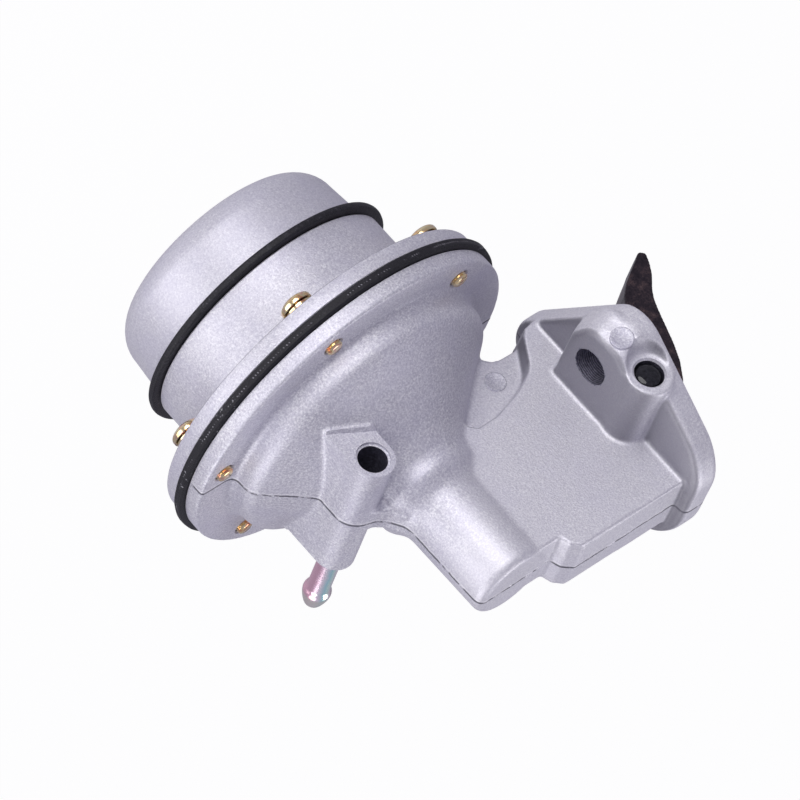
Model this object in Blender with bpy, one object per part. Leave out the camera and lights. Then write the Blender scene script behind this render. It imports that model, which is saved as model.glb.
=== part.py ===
# Mechanical fuel pump of the diaphragm type for a V8 engine, driven by a rocker arm.
# Metres, +Z up. The origin is the middle of the two mounting bolts, on the mounting face.
# +X points out of the mounting face, into the engine. The valve body and cover hang below.
# Levels of the round stack are measured along Z from the diaphragm's lower clamping face.

import bpy
import bmesh
from math import acos, atan2, cos, hypot, pi, radians, sin, sqrt, tan
from mathutils import Matrix, Vector

# Stack and clearances
STACK_X = -0.0620           # axis of the round stack, behind the mounting face
DIAPHRAGM_Z = -0.0434       # height of the diaphragm's lower clamping face
FIT = 0.0003                # gap between pieces that touch or slide
AROUND = 48                 # facets round the large castings
INSIDE = 32                 # facets round their cavities

# Diaphragm and the plates that grip it
DIAPHRAGM_PROUD = 0.0017    # how far its rim stands out of the flanges
DIAPHRAGM_T = 0.0027
PLATE_ROOM = 0.0077         # from the upper plate to the spring chamber's wall
LOWER_PLATE_SET = 0.0030    # from the lower plate to the edge of the dish's floor
PLATE_T = 0.0015
PLATE_LIP = 0.0012

# Lower body: flange, cone, neck, nose
BODY_FLANGE_T = 0.0047
FLANGE_EDGE = 0.0010
SHOULDER_GAP = 0.0050       # from the screw circle in to the cone's shoulder
SHOULDER_RISE = 0.0050
FLANK_SET = 0.0047          # from the shoulder in to the foot of the flank
FLANK_FOOT_RISE = 0.0093
FLANK_SHELF = 0.0035        # from the seal's seat out to the top of the flank
FLANK_TOP_RISE = 0.0219
NECK_R = 0.0155
NECK_LOW_RISE = 0.0290
NECK_HIGH_RISE = 0.0325
NOSE_R = 0.0121
NOSE_FOOT_RISE = 0.0370
NOSE_END_Z = 0.0309
NOSE_EDGE = 0.0023
CONE_WALL = 0.0038
RIM_WALL = 0.0035

# Mounting flange, its five-cornered outline given for one side of the middle plane
PLATE_DEPTH = 0.0074
PLATE_TOP_Z = 0.0406
PLATE_NEAR_Y = 0.0184
PLATE_FAR_Y = 0.0140
PLATE_EAR_Y = 0.0422
PLATE_EAR_Z = -0.0012
PLATE_TOE_Z = -0.0315
PLATE_TOP_ROUND = 0.0172
PLATE_EAR_ROUND = 0.0105
PLATE_TOE_ROUND = 0.0103
PLATE_EDGE = 0.0023
BOLT_Y = 0.0242
BOLT_HOLE_R = 0.00535
BOSS_DEPTH = 0.0143
BOSS_INSET = 0.0020
BOSS_EDGE = 0.0007
BOSS_LOW_Z = -0.0104

# Arm housing between the nose and the flange
HOUSING_WALL = 0.0028
HOUSING_TOP_Z = 0.0362
HOUSING_LOW_Z = -0.0066
PLATE_LIP_Z = -0.0276
HOUSING_DRAFT = 0.0009
HOUSING_STEP_X = -0.0470
HOUSING_ROOF = 0.0036
WEB_HALF = 0.0045

# Vent bosses across the cone, one drilled and one with the hose nipple
VENT_X = -0.0823
VENT_Z = -0.0109
VENT_BOSS_R = 0.0060
VENT_BOSS_HALF = 0.0230
SADDLE_HALF = 0.0065
VENT_BORE_R = 0.0041
VENT_BORE_DEPTH = 0.0170
VENT_RIM_R = 0.0047
VENT_RIM_DEPTH = 0.0009
VENT_PASSAGE_R = 0.0018
NIPPLE_R = 0.003175
NIPPLE_BORE_R = 0.0022
NIPPLE_SEAT = 0.0130
NIPPLE_LENGTH = 0.0380
NIPPLE_BEAD_R = 0.0040
NIPPLE_BEAD_LENGTH = 0.0062

# Pivot pin, rocker arm and link
PIVOT_X = -0.0077
PIVOT_Z = 0.0132
PIN_R = 0.0039
PIN_HALF = 0.0296
PIN_BOSS_R = 0.0070
PIN_BOSS_HALF = 0.0330
PLUG_T = 0.0016
BUSH_R = 0.0057
BUSH_PROUD = 0.0002
ARM_HALF = 0.0064
ARM_ROOM = 0.0008           # beside the arm in its chamber
ARM_HUB_R = 0.0086
ARM_TAIL_X = -0.0270
ARM_SPINE = [(-0.0060, 0.0128), (0.0046, 0.0122), (0.0127, 0.0068), (0.0182, -0.0022), (0.0223, -0.0130),
             (0.0269, -0.0188), (0.0313, -0.0220), (0.0354, -0.0262)]
ARM_HALVES = [0.0068, 0.0060, 0.0053, 0.0048, 0.0046, 0.0036, 0.0028, 0.0010]
ARM_BRIDGE = 0.0034
LINK_HALF = 0.0031
LINK_HUB_R = 0.0075
LINK_RISE = 0.0040
FORK_HALF = 0.0061
FORK_NECK_X = -0.0515
FORK_R = 0.0040
RETURN_SPRING_X = -0.0205
RETURN_SPRING_R = 0.0036
RETURN_WIRE_R = 0.00055
RETURN_TURNS = 4.0

# Pull rod, seal and diaphragm spring
ROD_R = 0.0026
ROD_HEAD_R = 0.0056
ROD_HEAD_T = 0.0024
ROD_GUIDE_R = 0.0040
ROD_NUT_R = 0.0048
ROD_NUT_T = 0.0030
SEAL_R = 0.0090
SEAL_T = 0.0050
SEAT_RISE = 0.0200
SEAT_EDGE = 0.0015          # round the seal's retainer
RETAINER_EDGE = 0.00165     # round the spring that presses on the retainer
RETAINER_T = 0.0009
SPRING_R = 0.0132
SPRING_WIRE_R = 0.00115
SPRING_TURNS = 4.5

# Flange screws
SCREW_COUNT = 6
SCREW_ROOM = 0.0039         # from a screw's head to the valve body's wall
SCREW_EDGE = 0.0060         # from the screw circle to the flanges' rims
SCREW_TURN = 54.0           # degrees from +X to the first screw
SCREW_R = 0.0024
SCREW_HEAD_R = 0.0047
SCREW_HEAD_H = 0.0029
SCREW_TIP = 0.0012
WASHER_R = 0.0043
WASHER_T = 0.0010

# Valve body
VALVE_FLANGE_T = 0.00465
VALVE_WALL = 0.0034
DISH_RIM = 0.0011           # from the dish's mouth to the valve body's wall
DISH_DEPTH = 0.0076
DISH_SLOPE = 0.0055
DECK_T = 0.0046
DIVIDER_T = 0.0030
CENTRE_BOSS_R = 0.0072
DIVIDER_OFFSET = 0.0062      # offsets run along X from the stack's axis
INLET_PORT_OFFSET = -0.0060
INLET_PORT_PROUD = 0.0054
INLET_PORT_DEPTH = 0.0150
OUTLET_PORT_OFFSET = 0.0270
OUTLET_PORT_PROUD = -0.0046
OUTLET_PORT_DEPTH = 0.0200
PORT_BOSS_R = 0.0100
PORT_HEAD = 0.0042          # from the diaphragm down to the port bosses
PORT_FOOT = 0.0010          # from the port bosses down to the valve body's base
PORT_R = 0.0062

# Valves in the valve body's deck
INLET_VALVE_OFFSET = -0.0175
OUTLET_VALVE_OFFSET = 0.0205
VALVE_Y = 0.0030
VALVE_ROOM = 0.0049         # from the outlet valve to the chamber's wall
VALVE_SEAT_T = 0.0030
DISC_LAP = 0.0015           # of the disc over the seat's throat
DISC_ROOM = 0.0009          # round the disc in its cage
VALVE_DISC_R = 0.0060
VALVE_DISC_T = 0.0010
CAGE_T = 0.0009
CAGE_LIP = 0.0010
CAGE_RISE = 0.0054
CAGE_EYE_R = 0.0010
CAGE_VENT_R = 0.0017
CAGE_VENTS = 4
CAGE_VENT_EDGE = 0.0006
VALVE_SPRING_R = 0.0030
VALVE_WIRE_R = 0.00035
VALVE_TURNS = 3.0

# Cover, its gasket and centre bolt
GASKET_PROUD = 0.0024
GASKET_T = 0.0021
COVER_SET = 0.0017          # from the valve body's wall in to the cover's rim
COVER_DRAFT = 0.0010
COVER_H = 0.0212
COVER_WALL = 0.0030
COVER_ROUND = 0.0090
COVER_DISH_R = 0.0115
COVER_DISH = 0.0030
COVER_BOSS_R = 0.0080
COVER_BOLT_R = 0.0039
COVER_BOLT_GRIP = 0.0105
COVER_HEAD_R = 0.0072
COVER_HEAD_H = 0.0048
COVER_WASHER_R = 0.0085
COVER_WASHER_T = 0.0012

# Radii of the stack, worked out from the valves outwards
VALVE_SEAT_R = VALVE_DISC_R + DISC_ROOM + CAGE_T + CAGE_LIP
VALVE_THROAT_R = VALVE_DISC_R - DISC_LAP
CAGE_VENT_CIRCLE_R = VALVE_DISC_R + DISC_ROOM - CAGE_VENT_R - CAGE_VENT_EDGE
CHAMBER_R = OUTLET_VALVE_OFFSET + VALVE_SEAT_R + VALVE_ROOM
VALVE_BODY_R = CHAMBER_R + VALVE_WALL
SCREW_CIRCLE_R = VALVE_BODY_R + SCREW_ROOM + SCREW_HEAD_R
FLANGE_R = SCREW_CIRCLE_R + SCREW_EDGE
DIAPHRAGM_R = FLANGE_R + DIAPHRAGM_PROUD
SHOULDER_R = SCREW_CIRCLE_R - SHOULDER_GAP
FLANK_FOOT_R = SHOULDER_R - FLANK_SET
SPRING_CHAMBER_R = SHOULDER_R - RIM_WALL
UPPER_PLATE_R = SPRING_CHAMBER_R - PLATE_ROOM
RETAINER_R = SPRING_R + SPRING_WIRE_R + RETAINER_EDGE
SEAT_R = RETAINER_R + SEAT_EDGE
FLANK_TOP_R = SEAT_R + FLANK_SHELF
DISH_R = VALVE_BODY_R - DISH_RIM
DISH_FLOOR_R = DISH_R - DISH_SLOPE
LOWER_PLATE_R = DISH_FLOOR_R - LOWER_PLATE_SET
GASKET_R = VALVE_BODY_R + GASKET_PROUD
COVER_R = VALVE_BODY_R - COVER_SET
COVER_CROWN_R = COVER_R - COVER_DRAFT

# Levels and places worked out from the sizes above
PORT_LEVEL = -PORT_HEAD - PORT_BOSS_R
VALVE_BODY_H = PORT_BOSS_R + PORT_FOOT - PORT_LEVEL
SEAT_LEVEL = 2 * FIT + DIAPHRAGM_T
FLANGE_TOP_LEVEL = SEAT_LEVEL + BODY_FLANGE_T
SCREW_GRIP = FLANGE_TOP_LEVEL + VALVE_FLANGE_T + FIT
BOLT_FACE_X = -BOSS_DEPTH
PLATE_BACK_X = -PLATE_DEPTH
CHAMBER_HALF = ARM_HALF + ARM_ROOM
HOUSING_HALF = CHAMBER_HALF + HOUSING_WALL
BUSH_HALF = ARM_HALF + BUSH_PROUD
NOSE_CAVITY_R = NOSE_R - HOUSING_WALL - FIT
NOSE_CEILING_Z = NOSE_END_Z - HOUSING_WALL
FORK_TOP_Z = PIVOT_Z + FORK_R
ROD_HEAD_Z = FORK_TOP_Z + FIT
SPRING_SEAT_LEVEL = FLANGE_TOP_LEVEL + SEAT_RISE
GASKET_LEVEL = -VALVE_BODY_H - FIT
COVER_LEVEL = GASKET_LEVEL - GASKET_T - FIT
CROWN_LEVEL = COVER_LEVEL - COVER_H
DECK_TOP_LEVEL = -DISH_DEPTH
DECK_LOW_LEVEL = DECK_TOP_LEVEL - DECK_T
PORTS = {"inlet": (STACK_X + INLET_PORT_OFFSET, -VALVE_BODY_R - INLET_PORT_PROUD, INLET_PORT_DEPTH),
         "outlet": (STACK_X + OUTLET_PORT_OFFSET, -VALVE_BODY_R - OUTLET_PORT_PROUD, OUTLET_PORT_DEPTH)}
VALVES = {"inlet": STACK_X + INLET_VALVE_OFFSET, "outlet": STACK_X + OUTLET_VALVE_OFFSET}


def level(value):
    return DIAPHRAGM_Z + value


def clear_scene():
    for item in list(bpy.data.objects):
        bpy.data.objects.remove(item, do_unlink=True)


def surface(name, colour, metallic, roughness):
    finish = bpy.data.materials.new(name)
    finish.use_nodes = True
    shader = finish.node_tree.nodes["Principled BSDF"]
    shader.inputs["Base Color"].default_value = (*colour, 1.0)
    shader.inputs["Metallic"].default_value = metallic
    shader.inputs["Roughness"].default_value = roughness
    finish.diffuse_color = (*colour, 1.0)
    return finish


def put(name, bm, finish=None):
    bmesh.ops.recalc_face_normals(bm, faces=bm.faces)
    mesh = bpy.data.meshes.new(name)
    bm.to_mesh(mesh)
    bm.free()
    piece = bpy.data.objects.new(name, mesh)
    bpy.context.scene.collection.objects.link(piece)
    if finish:
        mesh.materials.append(finish)
    return piece


def copy_of(piece, name):
    twin = bpy.data.objects.new(name, piece.data)
    bpy.context.scene.collection.objects.link(twin)
    return twin


def mechanism(name, point, pieces):
    """Hang pieces from an empty on their joint, with their own origins there too."""
    joint = bpy.data.objects.new(name, None)
    joint.empty_display_size = 0.01
    joint.location = point
    bpy.context.scene.collection.objects.link(joint)
    for piece in pieces:
        piece = bpy.data.objects[piece]
        piece.data.transform(Matrix.Translation(-Vector(point)))
        piece.parent = joint


def smooth(piece, angle=32.0):
    piece.data.shade_smooth()
    piece.data.set_sharp_from_angle(angle=radians(angle))
    return piece


def weld(mesh):
    bm = bmesh.new()
    bm.from_mesh(mesh)
    bmesh.ops.remove_doubles(bm, verts=bm.verts, dist=2e-6)
    bmesh.ops.dissolve_degenerate(bm, edges=bm.edges, dist=1e-6)
    bm.to_mesh(mesh)
    bm.free()


def cut(piece, tool, operation="DIFFERENCE"):
    """Combine piece with tool and remove the tool."""
    change = piece.modifiers.new(operation, "BOOLEAN")
    change.operation = operation
    change.solver = "EXACT"
    change.object = tool
    graph = bpy.context.evaluated_depsgraph_get()
    result = bpy.data.meshes.new_from_object(piece.evaluated_get(graph))
    piece.modifiers.clear()
    weld(result)
    piece.data = result
    bpy.data.objects.remove(tool, do_unlink=True)


def join(piece, *others):
    for other in others:
        cut(piece, other, "UNION")


# Outlines

def rounded(corners, radii, steps=4):
    """Outline with each corner replaced by a tangent arc of its radius."""
    points = []
    count = len(corners)
    for i, (corner, radius) in enumerate(zip(corners, radii)):
        here = Vector(corner)
        if radius <= 0:
            points.append(here)
            continue
        to_last = (Vector(corners[i - 1]) - here).normalized()
        to_next = (Vector(corners[(i + 1) % count]) - here).normalized()
        half = acos(max(-1.0, min(1.0, to_last.dot(to_next)))) / 2
        middle = here + (to_last + to_next).normalized() * (radius / sin(half))
        first = here + to_last * (radius / tan(half)) - middle
        last = here + to_next * (radius / tan(half)) - middle
        turn = atan2(first.x * last.y - first.y * last.x, first.dot(last))
        for step in range(steps + 1):
            angle = turn * step / steps
            points.append(middle + Matrix.Rotation(angle, 2) @ first)
    return points


def inset(outline, distance):
    """Outline moved inwards by distance; its points run anticlockwise."""
    moved = []
    count = len(outline)
    for i in range(count):
        here = Vector(outline[i])
        into = (here - Vector(outline[i - 1])).normalized()
        out = (Vector(outline[(i + 1) % count]) - here).normalized()
        normal = Vector((-into.y - out.y, into.x + out.x)).normalized()
        lean = max(0.3, normal.dot(Vector((-out.y, out.x))))
        moved.append(here + normal * (distance / lean))
    return moved


def circle(centre, radius, count):
    return [(centre[0] + radius * cos(2 * pi * i / count), centre[1] + radius * sin(2 * pi * i / count))
            for i in range(count)]


def at_z(first, last, z):
    share = (z - first[1]) / (last[1] - first[1])
    return first[0] + (last[0] - first[0]) * share


def along_curve(points, values, steps=2):
    """Points and values on a smooth curve through the given ones."""
    count = len(points)
    for i in range(count - 1):
        picks = [max(0, i - 1), i, i + 1, min(count - 1, i + 2)]
        near = [Vector((*points[k], values[k])) for k in picks]
        for step in range(steps if i < count - 2 else steps + 1):
            t = step / steps
            a, b, c, d = near
            yield 0.5 * (2 * b + (c - a) * t + (2 * a - 5 * b + 4 * c - d) * t ** 2 + (3 * b - a - 3 * c + d) * t ** 3)


def band(spine, halves):
    """Outline of a bar of varying width along a smooth curve, anticlockwise."""
    curve = list(along_curve(spine, halves))
    left, right = [], []
    for i, here in enumerate(curve):
        into = (curve[min(i + 1, len(curve) - 1)] - curve[max(i - 1, 0)]).xy.normalized()
        side = Vector((-into.y, into.x)) * here.z
        left.append(here.xy + side)
        right.append(here.xy - side)
    return right + left[::-1]


# Solids

AXES = {"X": lambda a, b, along: (along, a, b),
        "Y": lambda a, b, along: (a, along, b),
        "Z": lambda a, b, along: (a, b, along)}


def prism(name, sections, axis, finish=None):
    """Solid through a list of (position along axis, outline) with equal counts."""
    bm = bmesh.new()
    rings = []
    for along, outline in sections:
        rings.append([bm.verts.new(AXES[axis](p[0], p[1], along)) for p in outline])
    for low, high in zip(rings, rings[1:]):
        for i in range(len(low)):
            j = (i + 1) % len(low)
            bm.faces.new((low[i], low[j], high[j], high[i]))
    bm.faces.new(rings[0])
    bm.faces.new(rings[-1])
    return put(name, bm, finish)


def slab(name, outline, axis, start, end, finish=None):
    return prism(name, [(start, outline), (end, outline)], axis, finish)


def rod(name, axis, centre, radius, start, end, count=20, finish=None):
    return slab(name, circle(centre, radius, count), axis, start, end, finish)


def turned(name, profile, centre, count=AROUND, finish=None, axis="Z", phase=0.0):
    """Turn (radius, along) points about an axis; an open profile starts and ends on the axis."""
    bm = bmesh.new()
    chain = [bm.verts.new((r, 0.0, z)) for r, z in profile]
    edges = [bm.edges.new(pair) for pair in zip(chain, chain[1:])]
    if profile[0][0] > 0 or profile[-1][0] > 0:
        edges.append(bm.edges.new((chain[-1], chain[0])))
    bmesh.ops.spin(bm, geom=chain + edges, cent=(0, 0, 0), axis=(0, 0, 1), angle=2 * pi,
                   steps=count, use_merge=True)
    bmesh.ops.remove_doubles(bm, verts=bm.verts, dist=1e-6)
    bmesh.ops.dissolve_degenerate(bm, edges=bm.edges, dist=1e-7)
    bmesh.ops.rotate(bm, verts=bm.verts, matrix=Matrix.Rotation(phase * 2 * pi / count, 3, "Z"))
    if axis == "Y":
        bmesh.ops.rotate(bm, verts=bm.verts, matrix=Matrix.Rotation(-pi / 2, 3, "X"))
    bmesh.ops.translate(bm, verts=bm.verts, vec=Vector(centre))
    return put(name, bm, finish)


def tube(name, outer, inner, start, end, centre, count=24, finish=None, axis="Z"):
    profile = [(inner, start), (outer, start), (outer, end), (inner, end)]
    return turned(name, profile, centre, count, finish, axis)


def coil(name, centre, radius, wire, start, end, turns, finish, around=14, sides=5):
    """Helical spring with a closed coil at each end."""
    rise = (end - start) - 2 * wire
    closed = 2 * wire * 1.05
    steps = int(around * turns)
    bm = bmesh.new()
    rings = []
    for i in range(steps + 1):
        turn = turns * i / steps
        if turn < 1:
            along = closed * turn
        elif turn > turns - 1:
            along = rise - closed * (turns - turn)
        else:
            along = closed + (rise - 2 * closed) * (turn - 1) / (turns - 2)
        angle = 2 * pi * turn
        ring = []
        for side in range(sides):
            lean = 2 * pi * side / sides
            reach = radius + wire * cos(lean)
            ring.append(bm.verts.new((centre[0] + reach * cos(angle), centre[1] + reach * sin(angle),
                                      start + wire + along + wire * sin(lean))))
        rings.append(ring)
    for low, high in zip(rings, rings[1:]):
        for i in range(sides):
            j = (i + 1) % sides
            bm.faces.new((low[i], low[j], high[j], high[i]))
    bm.faces.new(rings[0])
    bm.faces.new(rings[-1])
    return put(name, bm, finish)


# Outline of the mounting flange in the plane of the mounting face, as (y, z)
PLATE_CORNERS = [(-PLATE_FAR_Y, PLATE_TOP_Z), (-PLATE_EAR_Y, PLATE_EAR_Z), (0.0, PLATE_TOE_Z),
                 (PLATE_EAR_Y, PLATE_EAR_Z), (PLATE_NEAR_Y, PLATE_TOP_Z)]
PLATE_ROUNDS = [PLATE_TOP_ROUND, PLATE_EAR_ROUND, PLATE_TOE_ROUND, PLATE_EAR_ROUND, PLATE_TOP_ROUND]


def housing_outline():
    """Side view of the arm housing as (x, z), anticlockwise."""
    neck = STACK_X + NECK_R
    low = HOUSING_LOW_Z
    lip = PLATE_LIP_Z
    return [(STACK_X, NOSE_FOOT_RISE + level(FLANGE_TOP_LEVEL)), (neck - 0.0075, low - 0.0060),
            (neck, low - 0.0060), (neck + 0.0008, low - 0.0026), (neck + 0.0030, low - 0.0006),
            (neck + 0.0102, low - 0.0008), (neck + 0.0171, low - 0.0026), (neck + 0.0215, low - 0.0040),
            (neck + 0.0257, low - 0.0060), (neck + 0.0283, low - 0.0084), (neck + 0.0309, low - 0.0125),
            (neck + 0.0331, lip + 0.0050), (neck + 0.0350, lip + 0.0034), (neck + 0.0384, lip + 0.0016),
            (-0.0010, lip), (-0.0010, HOUSING_TOP_Z), (HOUSING_STEP_X + 0.0028, HOUSING_TOP_Z - 0.0004),
            (HOUSING_STEP_X, HOUSING_TOP_Z - 0.0026), (HOUSING_STEP_X - 0.0012, NOSE_END_Z - 0.0006),
            (STACK_X, NOSE_END_Z - 0.0006)]


def chamber_outline():
    """Side view of the arm chamber as (x, z), anticlockwise, open through the mounting face."""
    roof = HOUSING_TOP_Z - HOUSING_ROOF
    return [(STACK_X, NOSE_FOOT_RISE + level(FLANGE_TOP_LEVEL) + 0.0008), (-0.0500, -0.0016),
            (-0.0405, -0.0040), (-0.0255, -0.0078), (-0.0180, -0.0095), (-0.0140, -0.0120),
            (-0.0125, -0.0172), (-0.0090, -0.0198), (0.0010, -0.0204), (0.0010, roof),
            (HOUSING_STEP_X + 0.0035, roof), (HOUSING_STEP_X + 0.0012, NOSE_CEILING_Z - 0.0005),
            (STACK_X, NOSE_CEILING_Z - 0.0005)]


def cone_outline():
    """Outside of the round part of the lower body as (radius, z), from the seat to the nose."""
    seat = level(SEAT_LEVEL)
    top = level(FLANGE_TOP_LEVEL)
    return [(0.0, seat), (FLANGE_R, seat), (FLANGE_R, top - FLANGE_EDGE),
            (FLANGE_R - 0.9 * FLANGE_EDGE, top), (SHOULDER_R + 0.0016, top),
            (SHOULDER_R, top + 0.0016), (SHOULDER_R - 0.0002, top + SHOULDER_RISE),
            (SHOULDER_R - 0.0014, top + SHOULDER_RISE + 0.0026),
            (FLANK_FOOT_R, top + FLANK_FOOT_RISE), (FLANK_TOP_R, top + FLANK_TOP_RISE),
            (FLANK_TOP_R - 0.0035, top + FLANK_TOP_RISE + 0.0036), (NECK_R, top + NECK_LOW_RISE),
            (NECK_R, top + NECK_HIGH_RISE), (NECK_R - 0.0016, top + NECK_HIGH_RISE + 0.0026),
            (NOSE_R, top + NOSE_FOOT_RISE), (NOSE_R - 0.0003, NOSE_END_Z - NOSE_EDGE),
            (NOSE_R - 0.45 * NOSE_EDGE, NOSE_END_Z - 0.25 * NOSE_EDGE),
            (NOSE_R - 1.2 * NOSE_EDGE, NOSE_END_Z), (0.0, NOSE_END_Z)]


def cavity_outline():
    """Spring chamber, seal bore, rod guide and nose cavity as (radius, z), from the seat up."""
    seat = level(SEAT_LEVEL)
    top = level(FLANGE_TOP_LEVEL)
    ceiling = level(SPRING_SEAT_LEVEL)
    seal_top = ceiling + SEAL_T + 2 * FIT
    guide_top = NOSE_FOOT_RISE + top + 0.0008
    slope = atan2(FLANK_TOP_RISE - FLANK_FOOT_RISE, FLANK_FOOT_R - FLANK_TOP_R)
    foot_r = FLANK_FOOT_R - CONE_WALL * sin(slope)
    foot_z = top + FLANK_FOOT_RISE - CONE_WALL * cos(slope)
    ledge_r = foot_r - (ceiling - 0.0010 - foot_z) / tan(slope)
    return [(0.0, seat - 0.001), (SPRING_CHAMBER_R, seat - 0.001), (SPRING_CHAMBER_R, top + 0.0028),
            (foot_r, foot_z), (ledge_r, ceiling - 0.0010), (max(SEAT_R, ledge_r - 0.0010), ceiling),
            (SEAL_R + FIT, ceiling), (SEAL_R + FIT, seal_top), (ROD_GUIDE_R, seal_top),
            (ROD_GUIDE_R, guide_top), (NOSE_CAVITY_R, guide_top), (NOSE_CAVITY_R, NOSE_CEILING_Z), (0.0, NOSE_CEILING_Z)]


def screw_places():
    for i in range(SCREW_COUNT):
        angle = radians(SCREW_TURN + 360.0 * i / SCREW_COUNT)
        yield i + 1, (STACK_X + SCREW_CIRCLE_R * cos(angle), SCREW_CIRCLE_R * sin(angle))


def mounting_flange():
    outline = rounded(PLATE_CORNERS, PLATE_ROUNDS, 5)
    sections = [(PLATE_BACK_X + PLATE_EDGE * (1 - cos(a)), inset(outline, PLATE_EDGE * (1 - sin(a))))
                for a in (0, pi / 6, pi / 3)]
    return prism("plate", sections + [(PLATE_BACK_X + PLATE_EDGE, outline), (0.0, outline)], "X")


def bolt_boss(side):
    """Tapered pad round one mounting bolt, from the flange to the bolt's seat."""
    root = CHAMBER_HALF + FIT
    sections = []
    half = PLATE_CORNERS[2:]
    for x, distance in ((BOLT_FACE_X, BOSS_INSET + BOSS_EDGE), (BOLT_FACE_X + BOSS_EDGE, BOSS_INSET),
                        (PLATE_BACK_X + PLATE_EDGE, FIT)):
        ear, top = inset([(0.0, PLATE_TOP_Z)] + half, distance)[2:]
        toe = Vector((0.0, PLATE_TOE_Z + distance))
        low = BOSS_LOW_Z + distance - BOSS_INSET
        corners = [(root, low), (at_z(toe, ear, low), low), ear, (at_z(ear, top, PIVOT_Z), PIVOT_Z), (root, PIVOT_Z)]
        outline = [(side * p[0], p[1]) for p in rounded(corners, [0, 0.003, PLATE_EAR_ROUND - distance, 0, 0])]
        sections.append((x, outline))
    return prism("boss", sections, "X")


def lower_body(finish):
    body = turned("lower_body", cone_outline(), (STACK_X, 0, 0), finish=finish)
    outline = housing_outline()
    edge = inset(outline, HOUSING_DRAFT)
    housing = prism("housing", [(-HOUSING_HALF, edge), (0.0, outline), (HOUSING_HALF, edge)], "Y")
    join(body, housing, mounting_flange(), bolt_boss(1), bolt_boss(-1))
    join(body, rod("pin_boss", "Y", (PIVOT_X, PIVOT_Z), PIN_BOSS_R, -PIN_BOSS_HALF, PIN_BOSS_HALF, 32))
    web = [(-0.0440, -0.0160), (-0.0330, -0.0240), (-0.0262, -0.0282), (-0.0245, -0.0248), (-0.0228, -0.0230),
           (-0.0208, -0.0224), (-0.0178, -0.0222), (-0.0130, -0.0220), (-0.0130, -0.0100), (-0.0410, -0.0050)]
    join(body, slab("web", web, "Y", -WEB_HALF, WEB_HALF))
    deep = level(FLANGE_TOP_LEVEL + 0.006)
    arch = [(VENT_X + VENT_BOSS_R * cos(pi * i / 12), VENT_Z + VENT_BOSS_R * sin(pi * i / 12)) for i in range(13)]
    vent = [(VENT_X - VENT_BOSS_R, deep), (VENT_X + VENT_BOSS_R, deep)] + arch
    join(body, slab("vent", vent, "Y", -VENT_BOSS_HALF, VENT_BOSS_HALF))
    neck = STACK_X - NECK_R
    ridge = VENT_Z + VENT_BOSS_R
    saddle = [(VENT_X - 0.0010, ridge - 0.0020), (STACK_X, ridge - 0.0020), (STACK_X, ridge + 0.0064),
              (neck + 0.0028, ridge + 0.0064), (neck, ridge + 0.0027), (neck - 0.0024, ridge + 0.0010),
              (VENT_X - 0.0010, ridge + 0.0001)]
    join(body, slab("saddle", saddle, "Y", -SADDLE_HALF, SADDLE_HALF))

    cut(body, turned("cavity", cavity_outline(), (STACK_X, 0, 0), INSIDE, phase=0.5))
    cut(body, slab("chamber", chamber_outline(), "Y", -CHAMBER_HALF, CHAMBER_HALF))
    cut(body, rod("pin_bore", "Y", (PIVOT_X, PIVOT_Z), PIN_R + FIT, -0.05, 0.05))
    for side in (-1, 1):
        cut(body, rod("bolt", "X", (side * BOLT_Y, 0.0), BOLT_HOLE_R, -0.03, 0.01))
        spot = sorted((side * PIN_BOSS_HALF, side * 0.05))
        cut(body, rod("spot", "Y", (PIVOT_X, PIVOT_Z), PIN_BOSS_R + 0.0002, *spot, 32))
    end = VENT_BOSS_HALF
    bore = [(0.0, end - VENT_BORE_DEPTH), (VENT_BORE_R, end - VENT_BORE_DEPTH), (VENT_BORE_R, end - VENT_RIM_DEPTH),
            (VENT_RIM_R, end - VENT_RIM_DEPTH), (VENT_RIM_R, end + 0.002), (0.0, end + 0.002)]
    cut(body, turned("vent_bore", bore, (VENT_X, 0, VENT_Z), 24, axis="Y"))
    inner = -end + NIPPLE_SEAT + FIT
    cut(body, rod("nipple_bore", "Y", (VENT_X, VENT_Z), NIPPLE_R + FIT, -0.05, inner))
    passage_y = inner - VENT_PASSAGE_R - 0.001
    cut(body, rod("passage", "Z", (VENT_X, passage_y), VENT_PASSAGE_R, level(FLANGE_TOP_LEVEL), VENT_Z, 12))
    for _, place in screw_places():
        cut(body, rod("tapped", "Z", place, SCREW_R + FIT, level(0.0), level(0.02), 12))
    return smooth(body)


def hose_nipple(finish):
    """Steel tube pressed into the vent boss, with a rounded bead for the hose."""
    start = -VENT_BOSS_HALF + NIPPLE_SEAT
    end = start - NIPPLE_LENGTH
    bead = end + NIPPLE_BEAD_LENGTH
    profile = [(NIPPLE_BORE_R, start), (NIPPLE_R, start), (NIPPLE_R, bead + 0.0012), (NIPPLE_BEAD_R - 0.0004, bead + 0.0003),
               (NIPPLE_BEAD_R, bead - 0.0006), (NIPPLE_BEAD_R, bead - 0.0016), (NIPPLE_BEAD_R - 0.0007, bead - 0.0034),
               (NIPPLE_BEAD_R - 0.0015, end + 0.0010), (NIPPLE_BORE_R + 0.0002, end), (NIPPLE_BORE_R, end + 0.0003)]
    return smooth(turned("hose_nipple", profile, (VENT_X, 0, VENT_Z), 18, finish, axis="Y"), 40)


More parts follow.
